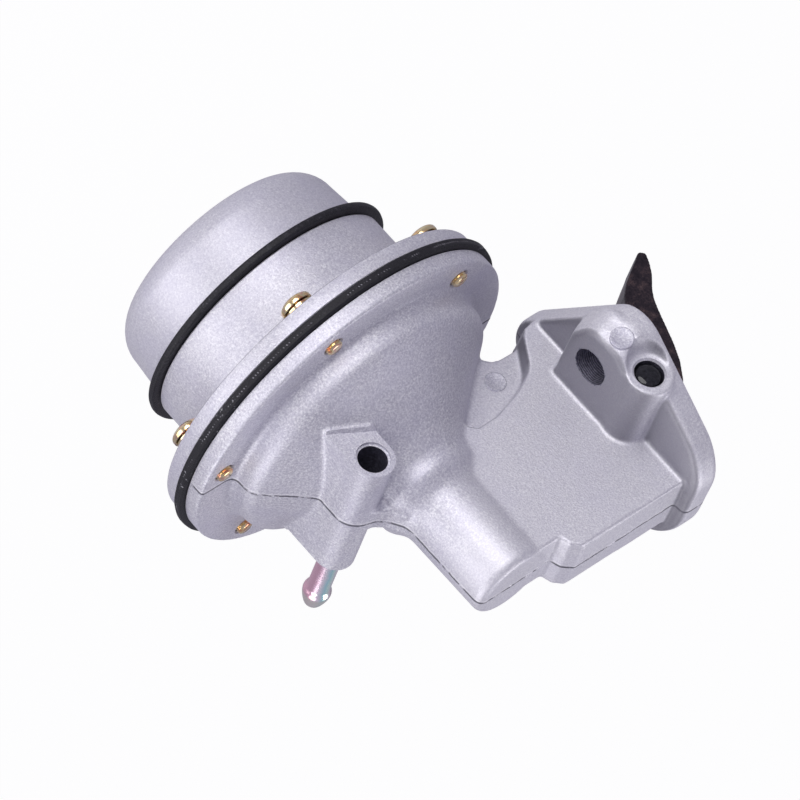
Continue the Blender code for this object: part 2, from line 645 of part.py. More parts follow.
def flange_screws(steel, dark):
    """Pan-head screws with their washers; the copies share one mesh each."""
    seat = -WASHER_T - FIT
    head = seat - SCREW_HEAD_H
    end = SCREW_GRIP + SCREW_TIP
    profile = [(0.0, end), (SCREW_R - 0.0006, end), (SCREW_R, end - 0.0007), (SCREW_R, seat), (SCREW_HEAD_R, seat),
               (SCREW_HEAD_R, seat - 0.3 * SCREW_HEAD_H), (0.88 * SCREW_HEAD_R, seat - 0.74 * SCREW_HEAD_H),
               (0.55 * SCREW_HEAD_R, seat - 0.95 * SCREW_HEAD_H), (0.0, head)]
    for number, (x, y) in screw_places():
        place = (x, y, level(-VALVE_FLANGE_T - FIT))
        if number == 1:
            screw = smooth(turned("flange_screw_1", profile, (0, 0, 0), 12, steel))
            washer = tube("lock_washer_1", WASHER_R, SCREW_R + FIT, -WASHER_T, 0.0, (0, 0, 0), 12, dark)
        else:
            screw = copy_of(screw, f"flange_screw_{number}")
            washer = copy_of(washer, f"lock_washer_{number}")
        screw.location = place
        washer.location = place


def main_diaphragm(finish):
    profile = [(ROD_R + FIT, level(FIT)), (DIAPHRAGM_R, level(FIT)), (DIAPHRAGM_R, level(FIT + DIAPHRAGM_T)),
               (ROD_R + FIT, level(FIT + DIAPHRAGM_T))]
    sheet = turned("main_diaphragm", profile, (STACK_X, 0, 0), AROUND, finish)
    for _, place in screw_places():
        cut(sheet, rod("hole", "Z", place, SCREW_R + FIT, level(-0.01), level(0.01), 12))
    return smooth(sheet)


def diaphragm_plates(finish):
    low = level(SEAT_LEVEL)
    upper = [(ROD_R + FIT, low), (UPPER_PLATE_R - PLATE_LIP, low), (UPPER_PLATE_R, low + PLATE_LIP),
             (UPPER_PLATE_R - 0.0005, low + PLATE_LIP + PLATE_T), (UPPER_PLATE_R - PLATE_LIP - 0.0004, low + PLATE_T),
             (ROD_R + FIT, low + PLATE_T)]
    smooth(turned("upper_diaphragm_plate", upper, (STACK_X, 0, 0), 28, finish))
    lower = [(ROD_R + FIT, level(0.0)), (LOWER_PLATE_R - PLATE_LIP, level(0.0)), (LOWER_PLATE_R, level(-PLATE_LIP)),
             (LOWER_PLATE_R - 0.0005, level(-PLATE_LIP - PLATE_T)),
             (LOWER_PLATE_R - PLATE_LIP - 0.0004, level(-PLATE_T)), (ROD_R + FIT, level(-PLATE_T))]
    smooth(turned("lower_diaphragm_plate", lower, (STACK_X, 0, 0), 28, finish))


def pull_rod(steel, dark):
    head = ROD_HEAD_Z
    bottom = level(-PLATE_T - FIT - ROD_NUT_T - 0.0006)
    profile = [(0.0, head + ROD_HEAD_T), (0.7 * ROD_HEAD_R, head + ROD_HEAD_T), (ROD_HEAD_R, head + 0.6 * ROD_HEAD_T),
               (ROD_HEAD_R, head), (ROD_R, head), (ROD_R, bottom + 0.0005), (ROD_R - 0.0005, bottom), (0.0, bottom)]
    smooth(turned("pull_rod", profile, (STACK_X, 0, 0), 14, steel))
    high = level(-PLATE_T - FIT)
    nut = slab("rod_nut", circle((STACK_X, 0.0), ROD_NUT_R, 6), "Z", high - ROD_NUT_T, high, dark)
    cut(nut, rod("thread", "Z", (STACK_X, 0.0), ROD_R + FIT, high - 0.01, high + 0.01, 12))


def rod_seal(rubber, steel):
    low = level(SPRING_SEAT_LEVEL) + FIT
    bore = ROD_R + FIT
    profile = [(bore, low), (SEAL_R, low), (SEAL_R, low + SEAL_T), (bore + 0.0016, low + SEAL_T),
               (bore + 0.0016, low + 0.4 * SEAL_T), (bore, low + 0.3 * SEAL_T)]
    smooth(turned("rod_seal", profile, (STACK_X, 0, 0), 20, rubber))
    high = level(SPRING_SEAT_LEVEL) - FIT
    tube("seal_retainer", RETAINER_R, ROD_R + 0.0012, high - RETAINER_T, high, (STACK_X, 0, 0), 24, steel)


def springs(finish):
    low = level(SEAT_LEVEL) + PLATE_T + FIT
    high = level(SPRING_SEAT_LEVEL) - RETAINER_T - 2 * FIT
    smooth(coil("diaphragm_spring", (STACK_X, 0.0), SPRING_R, SPRING_WIRE_R, low, high, SPRING_TURNS, finish), 60)
    low = PIVOT_Z + LINK_RISE + FIT + ARM_BRIDGE + FIT
    high = HOUSING_TOP_Z - HOUSING_ROOF - FIT
    smooth(coil("return_spring", (RETURN_SPRING_X, 0.0), RETURN_SPRING_R, RETURN_WIRE_R, low, high, RETURN_TURNS,
                finish, 10, 4), 60)


def pivot(steel, dark, bronze):
    centre = (PIVOT_X, PIVOT_Z)
    pin = [(0.0, -PIN_HALF), (PIN_R - 0.0005, -PIN_HALF), (PIN_R, -PIN_HALF + 0.0005), (PIN_R, PIN_HALF - 0.0005),
           (PIN_R - 0.0005, PIN_HALF), (0.0, PIN_HALF)]
    smooth(turned("pivot_pin", pin, (PIVOT_X, 0, PIVOT_Z), 20, steel, axis="Y"))
    for name, side in (("pin_plug_right", 1), ("pin_plug_left", -1)):
        start = side * (PIN_HALF + FIT)
        dome = [(0.0, start), (PIN_R - 0.0002, start), (PIN_R - 0.0002, start + side * 0.6 * PLUG_T),
                (0.72 * PIN_R, start + side * 0.92 * PLUG_T), (0.0, start + side * PLUG_T)]
        smooth(turned(name, dome, (PIVOT_X, 0, PIVOT_Z), 16, dark, axis="Y"))
    sleeve = tube("arm_bushing", BUSH_R, PIN_R + FIT, -BUSH_HALF, BUSH_HALF, (PIVOT_X, 0, PIVOT_Z), 20, bronze, "Y")
    smooth(sleeve)


def rocker_arm(finish):
    """Forged arm: hub on the pin, blade bent down to its wear pad, slotted tail round the link."""
    half_tail = LINK_RISE + FIT + ARM_BRIDGE
    arm = slab("rocker_arm", band(ARM_SPINE, ARM_HALVES), "Y", -ARM_HALF, ARM_HALF, finish)
    tail = [(ARM_TAIL_X, PIVOT_Z - half_tail), (PIVOT_X, PIVOT_Z - half_tail),
            (PIVOT_X, PIVOT_Z + half_tail), (ARM_TAIL_X, PIVOT_Z + half_tail)]
    join(arm, rod("hub", "Y", (PIVOT_X, PIVOT_Z), ARM_HUB_R, -ARM_HALF, ARM_HALF, 32))
    join(arm, slab("tail", rounded(tail, [0.0012, 0, 0, 0.0012], 2), "Y", -ARM_HALF, ARM_HALF))
    slot = LINK_HALF + FIT
    window = [(ARM_TAIL_X - 0.002, PIVOT_Z - LINK_RISE - FIT), (PIVOT_X - 0.8 * LINK_HUB_R, PIVOT_Z - LINK_RISE - FIT),
              (PIVOT_X - 0.8 * LINK_HUB_R, PIVOT_Z + LINK_RISE + FIT), (ARM_TAIL_X - 0.002, PIVOT_Z + LINK_RISE + FIT)]
    cut(arm, slab("window", window, "Y", -slot, slot))
    cut(arm, rod("hub", "Y", (PIVOT_X, PIVOT_Z), LINK_HUB_R + FIT, -slot, slot, 32))
    cut(arm, rod("bore", "Y", (PIVOT_X, PIVOT_Z), BUSH_R + FIT, -0.02, 0.02))
    return smooth(arm, 24)


def rocker_link(finish):
    """Link on the same pin: a bar inside the arm's slot, then a fork that lifts the pull rod's head."""
    bar = [(PIVOT_X, PIVOT_Z + LINK_RISE), (FORK_NECK_X - 0.002, PIVOT_Z + LINK_RISE),
           (FORK_NECK_X - 0.002, PIVOT_Z - LINK_RISE), (PIVOT_X, PIVOT_Z - LINK_RISE)]
    link = slab("rocker_link", bar, "Y", -LINK_HALF, LINK_HALF, finish)
    join(link, rod("hub", "Y", (PIVOT_X, PIVOT_Z), LINK_HUB_R, -LINK_HALF, LINK_HALF, 32))
    round_end = [(STACK_X + FORK_R * cos(radians(a)), PIVOT_Z + FORK_R * sin(radians(a))) for a in range(90, 271, 15)]
    fork = [(FORK_NECK_X, PIVOT_Z - LINK_RISE + 0.0004), (FORK_NECK_X, PIVOT_Z + LINK_RISE - 0.0004)] + round_end
    join(link, slab("fork", fork, "Y", -FORK_HALF, FORK_HALF))
    gap = ROD_R + 0.0007
    reach = STACK_X + ROD_R + 0.0013
    slot = [(STACK_X - 0.01, -gap), (reach, -gap), (reach, gap), (STACK_X - 0.01, gap)]
    cut(link, slab("slot", slot, "Z", PIVOT_Z - 0.01, PIVOT_Z + 0.01))
    cut(link, rod("bore", "Y", (PIVOT_X, PIVOT_Z), BUSH_R + FIT, -0.02, 0.02))
    return smooth(link, 24)


def valve_body(finish):
    """Middle casting: pump chamber above the deck, inlet and outlet chambers below it."""
    top = level(0.0)
    base = level(-VALVE_BODY_H)
    outer = [(0.0, top), (FLANGE_R, top), (FLANGE_R, level(-VALVE_FLANGE_T) + 0.0006),
             (FLANGE_R - 0.0006, level(-VALVE_FLANGE_T)), (VALVE_BODY_R + 0.0008, level(-VALVE_FLANGE_T)),
             (VALVE_BODY_R, level(-VALVE_FLANGE_T) - 0.0008), (VALVE_BODY_R, base + 0.0004),
             (VALVE_BODY_R - 0.0004, base), (0.0, base)]
    body = turned("valve_body", outer, (STACK_X, 0, 0), finish=finish)
    for x, face, depth in PORTS.values():
        join(body, rod("port_boss", "Y", (x, level(PORT_LEVEL)), PORT_BOSS_R, face, face + depth, 28))
    deck = level(DECK_TOP_LEVEL)
    dish = [(0.0, top + 0.001), (DISH_R, top + 0.001), (DISH_R, top - 0.0010), (DISH_FLOOR_R, deck), (0.0, deck)]
    cut(body, turned("dish", dish, (STACK_X, 0, 0), INSIDE, phase=0.5))
    under = level(DECK_LOW_LEVEL)
    ring = [(CENTRE_BOSS_R, base - 0.001), (CHAMBER_R, base - 0.001),
            (CHAMBER_R, under), (CENTRE_BOSS_R, under)]
    chamber = turned("chambers", ring, (STACK_X, 0, 0), INSIDE, phase=0.5)
    left, right = STACK_X + DIVIDER_OFFSET - DIVIDER_T / 2, STACK_X + DIVIDER_OFFSET + DIVIDER_T / 2
    reach = VALVE_BODY_R + 0.01
    wall = [(left, -reach), (right, -reach), (right, reach), (left, reach)]
    cut(chamber, slab("divider", wall, "Z", base - 0.002, under + 0.001))
    cut(body, chamber)
    for name, (x, face, depth) in PORTS.items():
        cut(body, rod("port", "Y", (x, level(PORT_LEVEL)), PORT_R, face - 0.005, face + depth, 20))
        cut(body, rod("valve_hole", "Z", (VALVES[name], VALVE_Y), VALVE_SEAT_R + FIT, under - 0.001, deck + 0.001))
    depth = CROWN_LEVEL + COVER_DISH + COVER_WALL
    bolt_end = level(-VALVE_BODY_H + COVER_BOLT_GRIP)
    cut(body, rod("bolt_hole", "Z", (STACK_X, 0.0), COVER_BOLT_R + FIT, level(depth), bolt_end + FIT, 16))
    for _, place in screw_places():
        cut(body, rod("hole", "Z", place, SCREW_R + FIT, level(-0.01), level(0.01), 12))
    return smooth(body)


def valves(brass, rubber, steel):
    """One-way valve in each deck hole; the outlet valve is the inlet valve turned over."""
    for name, x in VALVES.items():
        up = 1 if name == "inlet" else -1
        foot = level(DECK_LOW_LEVEL) if up > 0 else level(DECK_TOP_LEVEL)
        place = (x, VALVE_Y, 0)
        seat_end = foot + up * VALVE_SEAT_T
        seat = [(VALVE_THROAT_R, foot), (VALVE_SEAT_R, foot), (VALVE_SEAT_R, seat_end),
                (VALVE_THROAT_R + 0.0010, seat_end), (VALVE_THROAT_R, seat_end - up * 0.0004)]
        smooth(turned(f"{name}_valve_seat", seat, place, 18, brass))
        disc = seat_end + up * FIT
        disc_end = disc + up * VALVE_DISC_T
        rod(f"{name}_valve_disc", "Z", place[:2], VALVE_DISC_R, *sorted((disc, disc_end)), 18, rubber)
        roof = seat_end + up * CAGE_RISE
        low = seat_end + up * FIT
        inner = VALVE_DISC_R + DISC_ROOM
        cage = [(inner, low), (VALVE_SEAT_R, low), (VALVE_SEAT_R, seat_end + up * CAGE_T),
                (inner + CAGE_T, seat_end + up * (CAGE_T + FIT)), (inner + CAGE_T, roof - up * CAGE_T),
                (inner, roof), (CAGE_EYE_R, roof), (CAGE_EYE_R, roof - up * CAGE_T), (inner, roof - up * CAGE_T)]
        cap = turned(f"{name}_valve_cage", cage, place, 16, brass)
        for i in range(CAGE_VENTS):
            angle = 2 * pi * (i + 0.5) / CAGE_VENTS
            spot = (x + CAGE_VENT_CIRCLE_R * cos(angle), VALVE_Y + CAGE_VENT_CIRCLE_R * sin(angle))
            cut(cap, rod("vent", "Z", spot, CAGE_VENT_R, *sorted((roof - up * 0.002, roof + up * 0.001)), 8))
        smooth(cap)
        ends = sorted((disc_end + up * FIT, roof - up * (CAGE_T + FIT)))
        smooth(coil(f"{name}_valve_spring", place[:2], VALVE_SPRING_R, VALVE_WIRE_R, *ends, VALVE_TURNS, steel, 10, 4), 60)


def cover_gasket(finish):
    low = level(GASKET_LEVEL - GASKET_T)
    return smooth(tube("cover_gasket", GASKET_R, COVER_BOLT_R + FIT, low, level(GASKET_LEVEL), (STACK_X, 0, 0),
                       AROUND, finish))


def top_cover(finish):
    """Domed cap with a dished crown round its centre bolt, and an air space inside."""
    rim = level(COVER_LEVEL)
    crown = level(CROWN_LEVEL)
    hole = COVER_BOLT_R + FIT
    corner = [(COVER_CROWN_R - COVER_ROUND + COVER_ROUND * cos(a), crown + COVER_ROUND - COVER_ROUND * sin(a))
              for a in [pi / 2 * i / 4 for i in range(5)]]
    inner_round = COVER_ROUND - COVER_WALL
    inside = [(COVER_CROWN_R - COVER_ROUND + inner_round * cos(a), crown + COVER_ROUND - inner_round * sin(a))
              for a in [pi / 2 * i / 2 for i in range(2, -1, -1)]]
    dish = crown + COVER_DISH
    profile = [(hole, rim), (COVER_BOSS_R, rim), (COVER_BOSS_R, dish + COVER_WALL),
               (COVER_DISH_R + 0.0030, dish + COVER_WALL)] + inside
    profile += [(COVER_R - COVER_WALL, rim), (COVER_R, rim)] + corner
    profile += [(COVER_DISH_R + 0.0030, crown), (COVER_DISH_R, dish), (hole, dish)]
    return smooth(turned("top_cover", profile, (STACK_X, 0, 0), AROUND, finish))


def cover_bolt(steel, dark):
    seat = level(CROWN_LEVEL + COVER_DISH) - FIT
    washer = seat - COVER_WASHER_T
    tube("cover_washer", COVER_WASHER_R, COVER_BOLT_R + FIT, washer, seat, (STACK_X, 0, 0), 20, dark)
    head = washer - FIT
    end = level(-VALVE_BODY_H + COVER_BOLT_GRIP)
    bolt = slab("cover_bolt", circle((STACK_X, 0.0), COVER_HEAD_R, 6), "Z", head - COVER_HEAD_H, head, steel)
    dome = [(0.0, head - COVER_HEAD_H - 0.001), (COVER_HEAD_R * 1.1, head - COVER_HEAD_H - 0.001),
            (COVER_HEAD_R * 1.1, head + 0.001), (0.0, head + 0.001)]
    flats = [(0.0, head + 0.0005), (COVER_HEAD_R + 0.0002, head + 0.0005), (COVER_HEAD_R + 0.0002, head - COVER_HEAD_H + 0.0008),
             (COVER_HEAD_R * 0.84, head - COVER_HEAD_H), (0.0, head - COVER_HEAD_H)]
    chamfer = turned("chamfer", dome, (STACK_X, 0, 0), 24)
    cut(chamfer, turned("keep", flats, (STACK_X, 0, 0), 24))
    cut(bolt, chamfer)
    shank = [(0.0, head - 0.001), (COVER_BOLT_R, head - 0.001), (COVER_BOLT_R, end - 0.0008), (COVER_BOLT_R - 0.0008, end),
             (0.0, end)]
    join(bolt, turned("shank", shank, (STACK_X, 0, 0), 16))
    return smooth(bolt)


def build():
    clear_scene()
    cast = surface("cast_aluminium", (0.62, 0.61, 0.67), 0.85, 0.45)
    rubber = surface("black_rubber", (0.03, 0.03, 0.035), 0.0, 0.55)
    fabric = surface("fabric_rubber", (0.04, 0.04, 0.045), 0.0, 0.7)
    gold = surface("yellow_zinc", (0.80, 0.62, 0.30), 0.95, 0.28)
    zinc = surface("clear_zinc", (0.72, 0.74, 0.78), 0.95, 0.3)
    forged = surface("forged_steel", (0.13, 0.105, 0.10), 0.7, 0.42)
    steel = surface("bright_steel", (0.55, 0.55, 0.56), 0.95, 0.3)
    black = surface("black_steel", (0.05, 0.05, 0.055), 0.8, 0.25)
    bronze = surface("bronze", (0.60, 0.42, 0.22), 0.9, 0.35)
    brass = surface("brass", (0.75, 0.60, 0.30), 0.95, 0.3)
    lower_body(cast)
    valve_body(cast)
    top_cover(cast)
    cover_gasket(rubber)
    main_diaphragm(fabric)
    flange_screws(gold, gold)
    cover_bolt(gold, gold)
    hose_nipple(zinc)
    diaphragm_plates(steel)
    pull_rod(steel, steel)
    rod_seal(rubber, steel)
    springs(steel)
    pivot(steel, black, bronze)
    rocker_arm(forged)
    rocker_link(forged)
    valves(brass, rubber, steel)
    mechanism("rocker_pivot", (PIVOT_X, 0.0, PIVOT_Z), ["rocker_arm", "arm_bushing"])
    mechanism("link_pivot", (PIVOT_X, 0.0, PIVOT_Z), ["rocker_link"])
    mechanism("rod_slide", (STACK_X, 0.0, ROD_HEAD_Z),
              ["pull_rod", "rod_nut", "upper_diaphragm_plate", "lower_diaphragm_plate"])
    for name, x in VALVES.items():
        foot = DECK_LOW_LEVEL + VALVE_SEAT_T if name == "inlet" else DECK_TOP_LEVEL - VALVE_SEAT_T
        mechanism(f"{name}_lift", (x, VALVE_Y, level(foot)), [f"{name}_valve_disc"])


build()
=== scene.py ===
import bmesh
import bpy
from math import cos, pi, radians, sin, tan
from mathutils import Matrix, Vector, noise


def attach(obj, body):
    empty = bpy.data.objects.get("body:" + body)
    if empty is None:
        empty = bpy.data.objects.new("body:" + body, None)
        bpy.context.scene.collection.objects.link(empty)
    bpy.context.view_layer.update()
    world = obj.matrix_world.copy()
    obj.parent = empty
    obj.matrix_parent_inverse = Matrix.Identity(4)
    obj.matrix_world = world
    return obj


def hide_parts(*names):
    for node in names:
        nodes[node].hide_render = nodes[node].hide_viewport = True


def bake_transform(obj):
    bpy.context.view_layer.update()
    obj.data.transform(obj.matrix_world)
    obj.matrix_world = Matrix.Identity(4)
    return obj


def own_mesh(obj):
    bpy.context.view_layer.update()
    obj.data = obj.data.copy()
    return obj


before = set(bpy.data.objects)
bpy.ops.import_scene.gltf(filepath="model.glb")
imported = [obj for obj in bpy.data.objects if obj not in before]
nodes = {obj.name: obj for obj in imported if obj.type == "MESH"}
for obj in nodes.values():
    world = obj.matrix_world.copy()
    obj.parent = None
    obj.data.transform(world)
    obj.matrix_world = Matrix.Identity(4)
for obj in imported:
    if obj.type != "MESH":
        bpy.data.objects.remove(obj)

scene = bpy.context.scene
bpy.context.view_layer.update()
print("frame loaded:", len(nodes), "nodes")


# shader maths: an expression on values adds its own nodes

class Value:
    def __init__(self, graph, socket):
        self.graph = graph
        self.socket = socket

    def maths(self, operation, other=None):
        sockets = {0: self}
        if other is not None:
            sockets[1] = other
        return self.graph.node("ShaderNodeMath", {"operation": operation}, sockets)

    def __add__(self, other):
        return self.maths("ADD", other)

    def __radd__(self, other):
        return self.maths("ADD", other)

    def __sub__(self, other):
        return self.maths("SUBTRACT", other)

    def __rsub__(self, other):
        return self.graph.node("ShaderNodeMath", {"operation": "SUBTRACT"}, {0: other, 1: self})

    def __mul__(self, other):
        return self.maths("MULTIPLY", other)

    def __truediv__(self, other):
        return self.maths("DIVIDE", other)

    def __pow__(self, other):
        return self.maths("POWER", other)

    def size(self):
        return self.maths("ABSOLUTE")

    def wave(self):
        return self.maths("SINE")

    def fade(self, low, high):  # 0 below low, 1 above high
        return self.graph.node("ShaderNodeMapRange", {"interpolation_type": "SMOOTHSTEP"},
                               {"Value": self, "From Min": low, "From Max": high})


class Graph:
    def __init__(self, name):
        self.material = bpy.data.materials.new(name)
        self.material.use_nodes = True
        self.tree = self.material.node_tree
        self.shader = self.tree.nodes["Principled BSDF"]
        self.place = self.node("ShaderNodeTexCoord", {}, {}, "Object")
        self.facing = self.node("ShaderNodeTexCoord", {}, {}, "Normal")

    def node(self, kind, settings, sockets, output=0):
        made = self.tree.nodes.new(kind)
        for key, value in settings.items():
            if key == "stops":
                ramp = made.color_ramp
                while len(ramp.elements) < len(value):
                    ramp.elements.new(0.5)
                for element, (position, colour) in zip(ramp.elements, value):
                    element.position = position
                    element.color = (*colour, 1.0)
            else:
                setattr(made, key, value)
        for key, value in sockets.items():
            self.feed(made.inputs[key], value)
        return Value(self, made.outputs[output])

    def feed(self, socket, value):
        if isinstance(value, Value):
            self.tree.links.new(value.socket, socket)
        elif isinstance(value, (tuple, list)) and socket.type == "RGBA":
            socket.default_value = (*value[:3], 1.0)
        else:
            socket.default_value = value

    def part(self, axis, source=None):  # one coordinate, in millimetres
        split = self.node("ShaderNodeSeparateXYZ", {}, {0: source or self.place}, axis)
        return split * 1000.0

    def grain(self, size, detail=2.0, roughness=0.5):  # noise with features of a size in mm
        sockets = {"Vector": self.place, "Scale": 1000.0 / size, "Detail": detail, "Roughness": roughness}
        return self.node("ShaderNodeTexNoise", {}, sockets, "Fac")

    def cells(self, size):
        return self.node("ShaderNodeTexVoronoi", {}, {"Vector": self.place, "Scale": 1000.0 / size}, "Distance")

    def ramp(self, value, stops):
        return self.node("ShaderNodeValToRGB", {"stops": stops}, {0: value})

    def blend(self, amount, first, second):
        mix = self.tree.nodes.new("ShaderNodeMix")
        mix.data_type = "RGBA"
        self.feed(mix.inputs[0], amount)
        self.feed(mix.inputs[6], first)
        self.feed(mix.inputs[7], second)
        return Value(self, mix.outputs[2])

    def relief(self, height, depth, strength=1.0, under=None):  # depth in mm
        sockets = {"Height": height, "Distance": depth / 1000.0, "Strength": strength}
        if under:
            sockets["Normal"] = under
        return self.node("ShaderNodeBump", {}, sockets)

    def finish(self, **sockets):
        for key, value in sockets.items():
            self.feed(self.shader.inputs[key.replace("_", " ")], value)
        return self.material


# finishes

def castAluminium(name, partingLine=False, edgeLine=None, grainDepth=1.0, shade=False):
    # besides the metal's own tones, this table holds painted light and shade: a lighter tone for the lit housing side,
    # dark lines for the shaded flange edge and parting ridge, a highlight beside the ridge, and a dark tone for faces
    # turned to the stack
    look = {"dark": (0.43, 0.42, 0.51), "middle": (0.57, 0.562, 0.635), "light": (0.79, 0.787, 0.83),
            "cloud": (0.50, 0.485, 0.63), "paintedLight": (0.84, 0.83, 0.88), "pit": (0.27, 0.26, 0.35),
            "edge": (0.10, 0.10, 0.14), "flashShade": (0.06, 0.06, 0.085), "bright": (0.90, 0.89, 0.94),
            "paintedShade": (0.16, 0.155, 0.19), "flashY": 0.8, "metal": 0.45}
    g = Graph(name)
    fine = g.grain(0.62, 3.0, 0.68)
    speck = g.grain(0.36, 2.0, 0.6)
    broad = g.grain(14.0, 3.0, 0.55)
    tone = fine * 0.6 + speck * 0.4
    tone = 0.5 + (tone - 0.5) * grainDepth
    colour = g.ramp(tone, [(0.385, look["dark"]), (0.50, look["middle"]), (0.63, look["light"])])
    colour = g.blend(broad.fade(0.35, 0.70) * 0.25, colour, look["cloud"])
    if partingLine:
        # painted light: the nose, housing and plate, away from the round stack, are painted lighter where more light
        # falls on them
        lower = (g.part(0) + g.part(2)).fade(-64.0, -46.0)
        colour = g.blend(lower * 0.34, colour, look["paintedLight"])
    pits = g.cells(2.2)
    colour = g.blend(pits.fade(0.09, 0.03) * 0.4, colour, look["pit"])
    if edgeLine:  # painted shade: a thin dark line along the sharp turned edge of the flange, where the edge turns away from the light
        edgeShade = (g.part(2) - edgeLine).size().fade(0.20, 0.08) * g.grain(6.0, 2.0).fade(0.30, 0.46)
        colour = g.blend(edgeShade * 0.75, colour, look["edge"])
    bump = g.relief(tone, 0.20 * grainDepth, 0.8)
    bump = g.relief(g.grain(3.4, 2.0), 0.14, 0.5, bump)
    if partingLine:
        # painted shade and highlight: a dark ragged line along the parting ridge stands in for the ridge's shaded
        # side, and a lighter band beside it stands in for its highlight
        wander = g.grain(5.0, 4.0, 0.7) * 0.7 - 0.35
        line = (g.part(1) + look["flashY"] + wander).size().fade(0.55, 0.22)
        ragged = g.grain(3.4, 3.0, 0.6).fade(0.38, 0.48)
        colour = g.blend(line * ragged * 0.9, colour, look["flashShade"])
        beside = (g.part(1) + 0.2 + wander).size().fade(0.55, 0.15) * (1.0 - line)
        colour = g.blend(beside * 0.4, colour, look["bright"])
    if shade:  # painted shade: faces turned back towards the round stack, near the plate, are darkened as if the stack kept the light off them
        shadeFromStack = (g.part(0, g.facing) * -0.001).fade(0.30, 0.85) * g.part(0).fade(-32.0, -22.0)
        colour = g.blend(shadeFromStack * 0.74, colour, look["paintedShade"])
    rough = 0.36 + fine * 0.18 + broad * 0.04
    return g.finish(Base_Color=colour, Metallic=look["metal"], Roughness=rough, Normal=bump)


def machinedAluminium(name):
    g = Graph(name)
    y, z = g.part(1), g.part(2)
    rings = ((y ** 2 + z ** 2) ** 0.5 * 9.0).wave()
    scratch = g.grain(0.5, 3.0)
    colour = g.ramp(scratch, [(0.3, (0.50, 0.50, 0.56)), (0.7, (0.74, 0.74, 0.80))])
    return g.finish(Base_Color=colour, Metallic=0.85, Roughness=0.26 + scratch * 0.2,
                    Normal=g.relief(rings * 0.5 + scratch, 0.05, 0.6))


def shadedBore(name):  # a cored hole with drag marks round it, painted nearly black as the shade inside the hole
    g = Graph(name)
    fine = g.grain(0.7, 4.0, 0.7)
    drag = (g.part(0) * 9.5 + g.grain(2.4, 2.0) * 7.0).wave() * 0.5 + 0.5
    tone = drag * 0.28 + fine * 0.72
    colour = g.ramp(tone, [(0.30, (0.05, 0.05, 0.07)), (0.52, (0.16, 0.155, 0.21)),
                           (0.70, (0.34, 0.33, 0.42)), (0.86, (0.80, 0.79, 0.86))])
    return g.finish(Base_Color=colour, Metallic=0.6, Roughness=0.36 + fine * 0.2, Normal=g.relief(tone, 0.3, 0.8))


def holeDark(name):  # the unlit inside of a deep hole
    g = Graph(name)
    fine = g.grain(0.8, 3.0, 0.6)
    colour = g.ramp(fine, [(0.35, (0.030, 0.029, 0.045)), (0.60, (0.075, 0.072, 0.105)), (0.80, (0.17, 0.165, 0.22))])
    return g.finish(Base_Color=colour, Metallic=0.2, Roughness=0.42 + fine * 0.2, Normal=g.relief(fine, 0.12, 0.6))


def gasketRubber(name):
    g = Graph(name)
    weave = g.grain(0.55, 3.0, 0.6)
    scuff = g.grain(3.0, 4.0, 0.7)
    colour = g.ramp(weave, [(0.34, (0.005, 0.005, 0.008)), (0.60, (0.014, 0.013, 0.019)),
                            (0.80, (0.075, 0.072, 0.09))])
    colour = g.blend(scuff.fade(0.60, 0.74) * 0.35, colour, (0.09, 0.088, 0.11))
    return g.finish(Base_Color=colour, Metallic=0.0, Roughness=0.36 + weave * 0.3,
                    Normal=g.relief(weave, 0.2, 0.9), Specular_IOR_Level=0.32)


def diaphragmRubber(name):
    look = {"axisX": -62.0, "middleZ": -41.75, "threads": 360.0}
    g = Graph(name)
    x, y, z = g.part(0) - look["axisX"], g.part(1), g.part(2)
    around = y.maths("ARCTAN2", x)
    stitch = (around * look["threads"] + z * 2.2 + g.grain(3.0, 2.0) * 6.0).wave()
    skip = g.grain(3.6, 3.0, 0.7).fade(0.45, 0.60)
    row = (z - look["middleZ"] - 0.55 + g.grain(9.0) * 0.8).size().fade(0.30, 0.10)
    thread = stitch.fade(0.25, 0.75) * row * skip
    fine = g.grain(0.5, 3.0, 0.6)
    colour = g.ramp(fine, [(0.32, (0.005, 0.005, 0.008)), (0.62, (0.014, 0.013, 0.019)),
                           (0.84, (0.06, 0.058, 0.072))])
    colour = g.blend(thread * 0.6, colour, (0.42, 0.41, 0.47))
    frayed = g.grain(1.0, 2.0).fade(0.64, 0.72) * g.grain(16.0).fade(0.50, 0.62)
    colour = g.blend(frayed * 0.6, colour, (0.50, 0.50, 0.55))
    return g.finish(Base_Color=colour, Roughness=0.46 + fine * 0.24,
                    Normal=g.relief(fine + thread, 0.2, 0.9), Specular_IOR_Level=0.32)


def yellowZinc(name):
    g = Graph(name)
    drift = g.grain(2.2, 2.0, 0.5)
    fine = g.grain(0.35, 2.0)
    colour = g.ramp(drift, [(0.30, (0.72, 0.30, 0.20)), (0.42, (0.92, 0.66, 0.34)), (0.54, (0.86, 0.78, 0.50)),
                            (0.64, (0.90, 0.52, 0.40)), (0.78, (0.52, 0.60, 0.44))])
    return g.finish(Base_Color=colour, Metallic=1.0, Roughness=0.10 + fine * 0.10, Normal=g.relief(fine, 0.03, 0.5))


